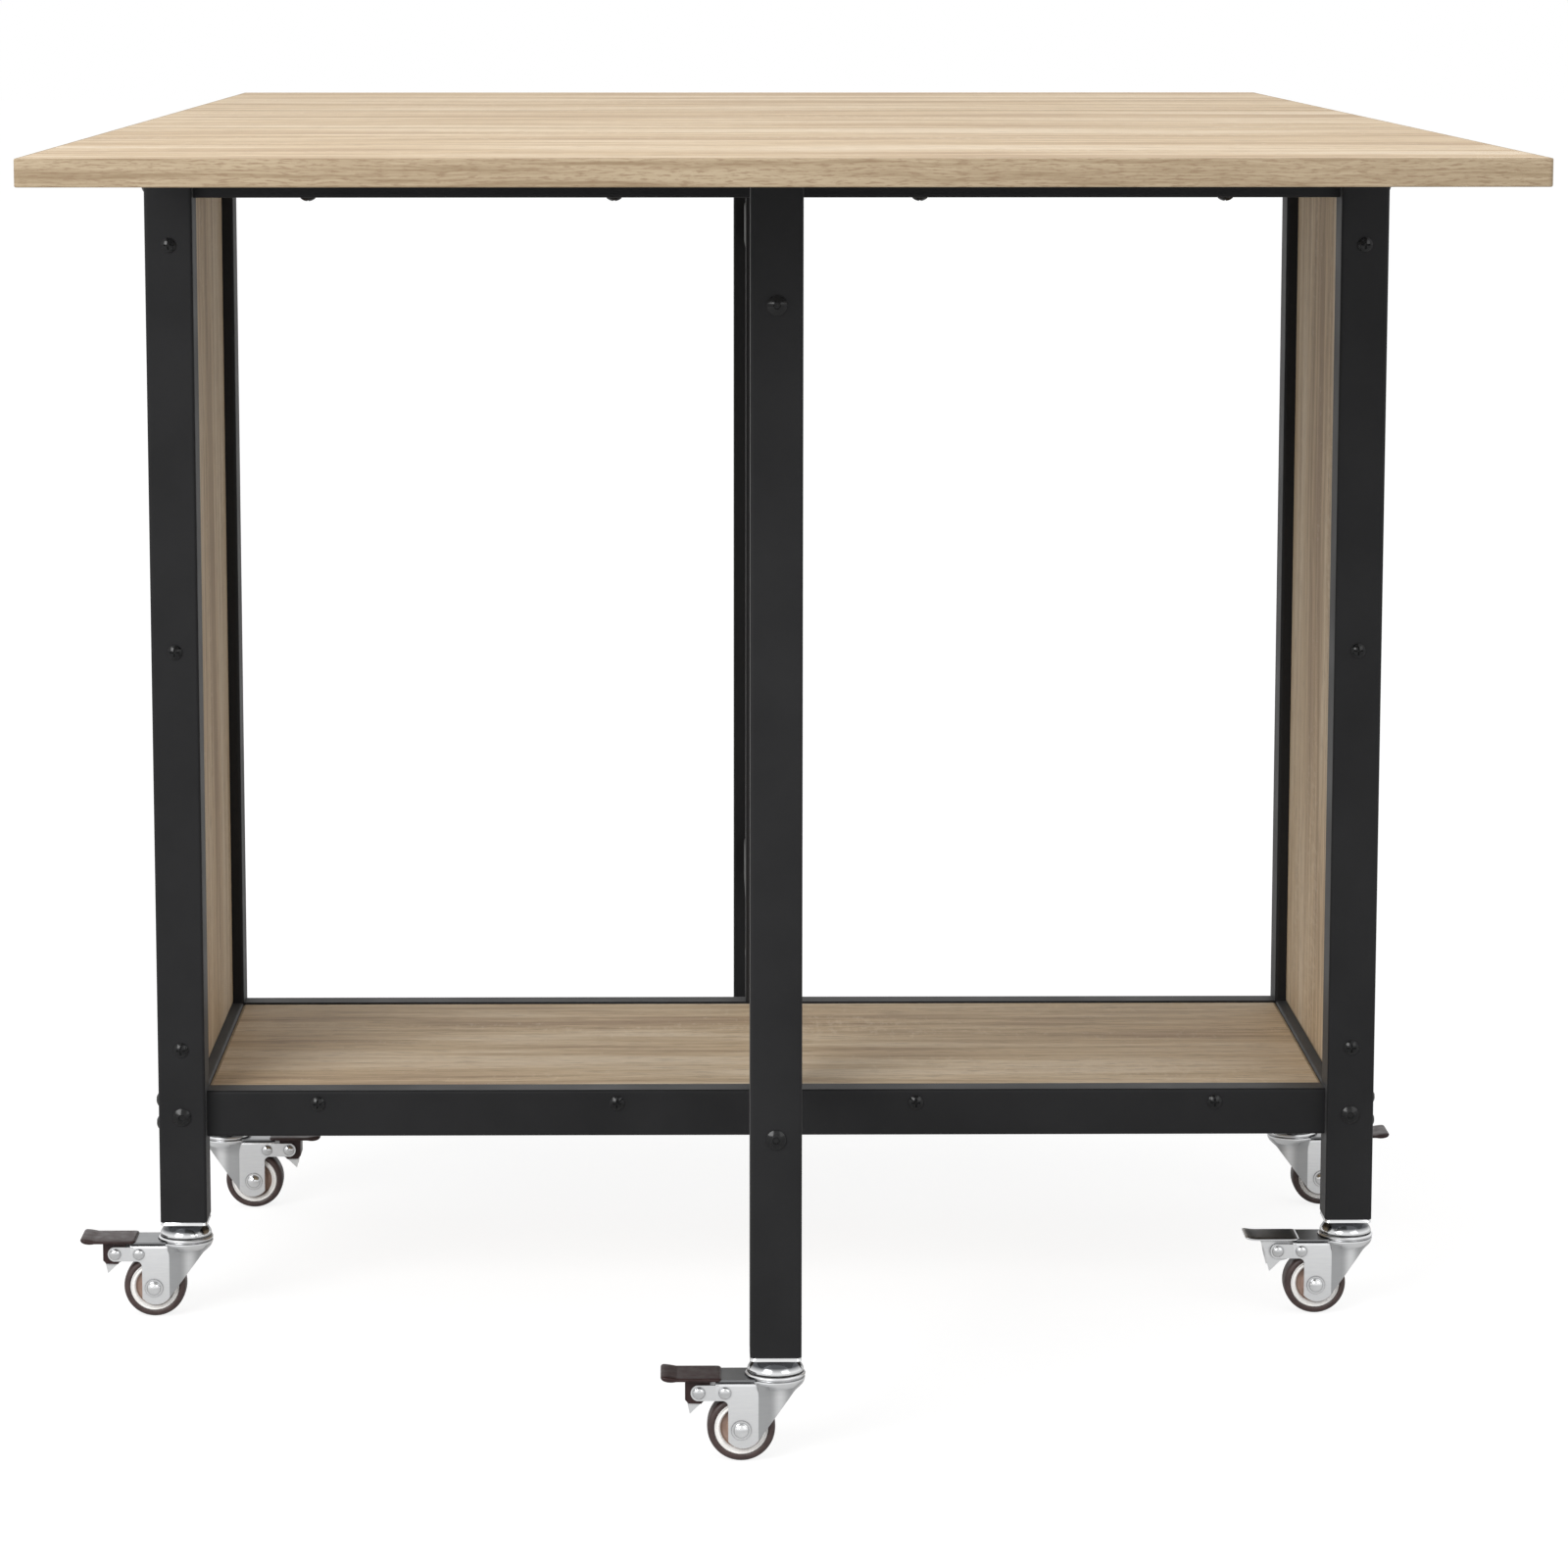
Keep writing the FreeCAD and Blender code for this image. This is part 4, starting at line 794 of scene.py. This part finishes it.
# The tail's zinc is painted this much darker, a painted dark reflection.
TAIL_REFLECTION_DARKNESS = 0.75
FLANGE_THICKNESS = 1.4
BARE_FLANGE, SHOD_FLANGE = 9.6, 7.4
BARE_OUTLINE = [
    (-55.4, 49.8), (-55.2, 46.5), (-53.2, 42.5), (-52.0, 36.0), (-50.0, 28.6), (-43.0, 35.4), (-38.4, 36.6),
    (-37.6, 49.8),
]
SHOD_OUTLINE = [(-51.6, 46.0), (-51.6, 36.0), (-50.0, 28.6), (-43.0, 35.4), (-40.0, 37.0), (-40.0, 46.0)]
TREAD_CORNER = 3.0
TREAD_EDGE = 1.6
TREAD_EDGE_LEAST = 0.02
TREAD_SQUARENESS = 5.0
TREAD_STEPS, TREAD_SIDES = 40, 48
TIP_RISE = 1.2
TIP_LENGTH = 9.0
TIP_BEAD = 4.5
# Over this length from each end, the painted dark reflection on a tread plate's top fades out.
REFLECTION_FADE_FROM = 4.0
SHOE_TIP, SHOE_ROOT = -67.0, -31.5
SHOE_LOW, SHOE_HIGH = LEVER_FLOOR, 51.8
SHOE_HALF = 15.0
SHOE_BEAD = 0.7
BLOCK_HALF = 9.5
BLOCK_OUTLINE = [
    (-52.8, 50.0), (-52.8, 37.6), (-50.8, 35.4), (-43.2, 35.2), (-41.6, 37.4), (-38.2, 38.0), (-38.2, 50.0),
]
SHOE_BROWN = "#2c1b1a"
SHOE_RUBBED = "#352423"
SHOE_ROUGHNESS = (0.32, 0.46)
SHOE_GLINT = 0.3
SHOE_CLOUDS = 6 * MM

# Moulded shoe: dark brown plastic with a soft shine, slightly paler and duller in rubbed patches.
shoe_plastic = moulded(
    "moulded_brown_shoe", (SHOE_BROWN, SHOE_RUBBED), SHOE_CLOUDS, SHOE_ROUGHNESS, SHOE_GLINT
)


def slab(outline, low, high):
    """A flat plate: its outline in X and Z carried across from one Y to another."""
    flat = np.array(outline)
    rings = [np.column_stack([flat[:, 0], np.full(len(flat), y), flat[:, 1]]) for y in (low, high)]
    return loft(np.array(rings) * MM)


def tread_plate(tip, root, half, low, high, bead, painted_reflection):
    """A tread plate: a superellipse section of its width and thickness carried along X. Towards the tip it
    rises and swells to a bead, and at both ends it narrows by a quarter circle and closes to a thin rounded
    edge. The last argument says how dark its top is painted, a painted dark reflection, which fades out
    towards both ends and leaves the sides bright."""
    x = tip + (root - tip) * (1 - np.cos(np.linspace(0, np.pi, TREAD_STEPS))) / 2
    angle = np.linspace(0, 2 * np.pi, TREAD_SIDES, endpoint=False)
    power = 2 / TREAD_SQUARENESS
    wide = np.sign(np.cos(angle)) * np.abs(np.cos(angle)) ** power
    tall = np.sign(np.sin(angle)) * np.abs(np.sin(angle)) ** power
    from_end = np.minimum(x - tip, root - x)
    draw_in = TREAD_CORNER - np.sqrt(TREAD_CORNER**2 - np.maximum(TREAD_CORNER - from_end, 0) ** 2)
    thin = np.sqrt(np.clip(1 - np.maximum(1 - from_end / TREAD_EDGE, 0) ** 2, TREAD_EDGE_LEAST, 1))
    lift = TIP_RISE * np.clip(1 - (x - tip) / TIP_LENGTH, 0, 1) ** 2
    y = (half - draw_in)[:, None] * wide
    swell = bead * np.maximum(1 - ((x - tip) / TIP_BEAD - 1) ** 2, 0)
    z = ((low + high) / 2 + lift)[:, None] + (((high - low) / 2 + swell) * thin)[:, None] * tall
    rubbed_wear_and_painted_top = painted_reflection * np.clip(2 * tall, 0, 1) * np.clip(from_end / REFLECTION_FADE_FROM, 0, 1)[:, None]
    return loft(np.stack([np.broadcast_to(x[:, None], y.shape), y, z], axis=2) * MM, painted_reflection=rubbed_wear_and_painted_top)


def lever_tail():
    """The inner end of the lever, pressed to let the wheel go: a flat plate cut hollow about the swivel
    axis, as slices across Y that each run in X to that circle."""
    top = LEVER_FLOOR + SHOD_PLATE
    across = np.linspace(-LEVER_HALF, LEVER_HALF, TAIL_SLICES)
    slices = []
    for y, end in zip(across, -np.sqrt(TAIL_ROUND**2 - across**2)):
        corners = ((TAIL_START, LEVER_FLOOR), (end, LEVER_FLOOR), (end, top), (TAIL_START, top))
        slices.append([(x, y, z) for x, z in corners])
    return loft(np.array(slices) * MM, painted_reflection=TAIL_REFLECTION_DARKNESS)


for place in POSTS + GATES:
    body = f"{place}_brake"
    bare = place == "front_right"
    plate_top = LEVER_FLOOR + (BARE_PLATE if bare else SHOD_PLATE)
    outline, flange = (BARE_OUTLINE, BARE_FLANGE) if bare else (SHOD_OUTLINE, SHOD_FLANGE)
    # Every lever's tread plate has its top painted dark, a painted dark reflection; the shoe's has none.
    skins = [
        tread_plate(LEVER_TIP, LEVER_ROOT, LEVER_HALF, LEVER_FLOOR, plate_top, bead=0.0, painted_reflection=1.0),
        lever_tail(),
        slab(outline, flange - FLANGE_THICKNESS, flange),
        slab(outline, -flange, FLANGE_THICKNESS - flange),
    ]
    skins = [at_castor(skin, place) for skin in skins]
    lever = build(f"{place}_brake_lever", skins, [satin_zinc], body)
    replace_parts(lever, f"{place}_brake_pedal")
    if not bare:
        skins = [
            tread_plate(SHOE_TIP, SHOE_ROOT, SHOE_HALF, SHOE_LOW, SHOE_HIGH, bead=SHOE_BEAD, painted_reflection=0.0),
            slab(BLOCK_OUTLINE, -BLOCK_HALF, BLOCK_HALF),
        ]
        skins = [at_castor(skin, place) for skin in skins]
        build(f"{place}_pedal_shoe", skins, [shoe_plastic], body)


# Studio: a plain white floor that keeps a pale shadow, a white world, and soft lamps to the front left,
# front right and above. Camera, mirror and clear rays see the white; other rays see a plain level of light.
FLOOR_PALE = "#cfcfcf"
FLOOR_SPAN = 60.0
FLOOR_ROUGHNESS = 0.9
FLOOR_GLOW = 1.42
SHOWN_TO_CAMERA, SHOWN_IN_METAL = 0.6, 0.2
WHITE = (1.0, 1.0, 1.0, 1.0)
AMBIENT = 0.62
LAMPS_AIM = np.array([0.0, 0.0, 0.45])


def backdrop_share(tree, to_camera, in_metal):
    """How much of the plain white a ray sees: one share for the camera's rays, one for rays from metal or
    clear matter, none for the rest."""
    ray = add(tree, "LightPath").outputs
    bounces = {0: ray["Is Glossy Ray"], 1: ray["Is Transmission Ray"]}
    bounced = add(tree, "Math", {}, bounces, operation="MAXIMUM").outputs[0]
    dimmed = add(tree, "Math", {1: in_metal}, {0: bounced}, operation="MULTIPLY").outputs[0]
    sources = {0: ray["Is Camera Ray"], 2: dimmed}
    return add(tree, "Math", {1: to_camera}, sources, operation="MULTIPLY_ADD").outputs[0]


# Floor paint: matt and pale, so that it keeps a soft shadow, and white to the eye. It is clear from below.
floor_paint, tree, shader = new_finish("white_studio_floor")
floor_values = {"Base Color": linear(FLOOR_PALE), "Roughness": FLOOR_ROUGHNESS, "Specular IOR Level": 0.0}
feed(tree, shader, floor_values)
glow = add(tree, "Emission", {"Color": WHITE, "Strength": FLOOR_GLOW})
show = backdrop_share(tree, SHOWN_TO_CAMERA, SHOWN_IN_METAL)
white = add(tree, "MixShader", {}, {0: show, 1: shader.outputs[0], 2: glow.outputs[0]})
below = add(tree, "NewGeometry").outputs["Backfacing"]
clear = add(tree, "BsdfTransparent")
either = add(tree, "MixShader", {}, {0: below, 1: white.outputs[0], 2: clear.outputs[0]})
feed(tree, tree.nodes["Material Output"], {}, {"Surface": either.outputs[0]})
half = FLOOR_SPAN / 2
floor_corners = [(-half, -half, 0), (half, -half, 0), (half, half, 0), (-half, half, 0)]
floor_mesh = bpy.data.meshes.new("studio_floor")
floor_mesh.from_pydata(floor_corners, [], [(0, 1, 2, 3)])
floor_mesh.materials.append(floor_paint)
floor = bpy.data.objects.new("studio_floor", floor_mesh)
bpy.context.scene.collection.objects.link(floor)

world = bpy.data.worlds.new("white_studio")
world.use_nodes = True
tree = world.node_tree
show = backdrop_share(tree, 1.0, 1.0)
level = add(tree, "MapRange", between("To", (AMBIENT, 1.0)), {"Value": show}).outputs["Result"]
feed(tree, tree.nodes["Background"], {"Color": WHITE}, {"Strength": level})
bpy.context.scene.world = world

# Each lamp's place, the side of its square and its power in watts.
LAMPS = {
    "front_left_softbox": ((-2.2, -3.3, 2.4), 2.15, 109.0),
    "front_right_softbox": ((2.6, -3.0, 2.2), 2.2, 20.0),
    "overhead_softbox": ((0.2, 0.2, 4.0), 3.0, 20.0),
}
for name, (spot, size, power) in LAMPS.items():
    lamp = bpy.data.lights.new(name, "AREA")
    lamp.shape = "SQUARE"
    lamp.size = size
    lamp.energy = power
    softbox = bpy.data.objects.new(name, lamp)
    away = np.array(spot) - LAMPS_AIM
    tilt = math.atan2(math.hypot(away[0], away[1]), away[2])
    turn = math.atan2(away[0], -away[1])
    softbox.location = spot
    softbox.rotation_euler = (tilt, 0, turn)
    bpy.context.scene.collection.objects.link(softbox)


# Camera: a long lens just above the table top, looking a little down on the front. Its frame slides slightly
# down and right, which keeps the legs more nearly upright without moving the object far off the middle.
CAMERA_SPOT = (-0.0526, -3.3419, 0.8631)
LOOK_DOWN = math.radians(8.114)
LOOK_RIGHT = math.radians(0.602)
FOCAL_LENGTH = 116.36
SENSOR_WIDTH = 36.0
FRAME_SLIDE = (0.03, -0.06)
lens = bpy.data.cameras.new("photograph_lens")
lens.sensor_width = SENSOR_WIDTH
lens.lens = FOCAL_LENGTH
lens.shift_x, lens.shift_y = FRAME_SLIDE
camera = bpy.data.objects.new("photograph_camera", lens)
camera.location = CAMERA_SPOT
camera.rotation_euler = (math.pi / 2 - LOOK_DOWN, 0, -LOOK_RIGHT)
bpy.context.scene.collection.objects.link(camera)
bpy.context.scene.camera = camera
bpy.context.scene.view_settings.view_transform = "Standard"
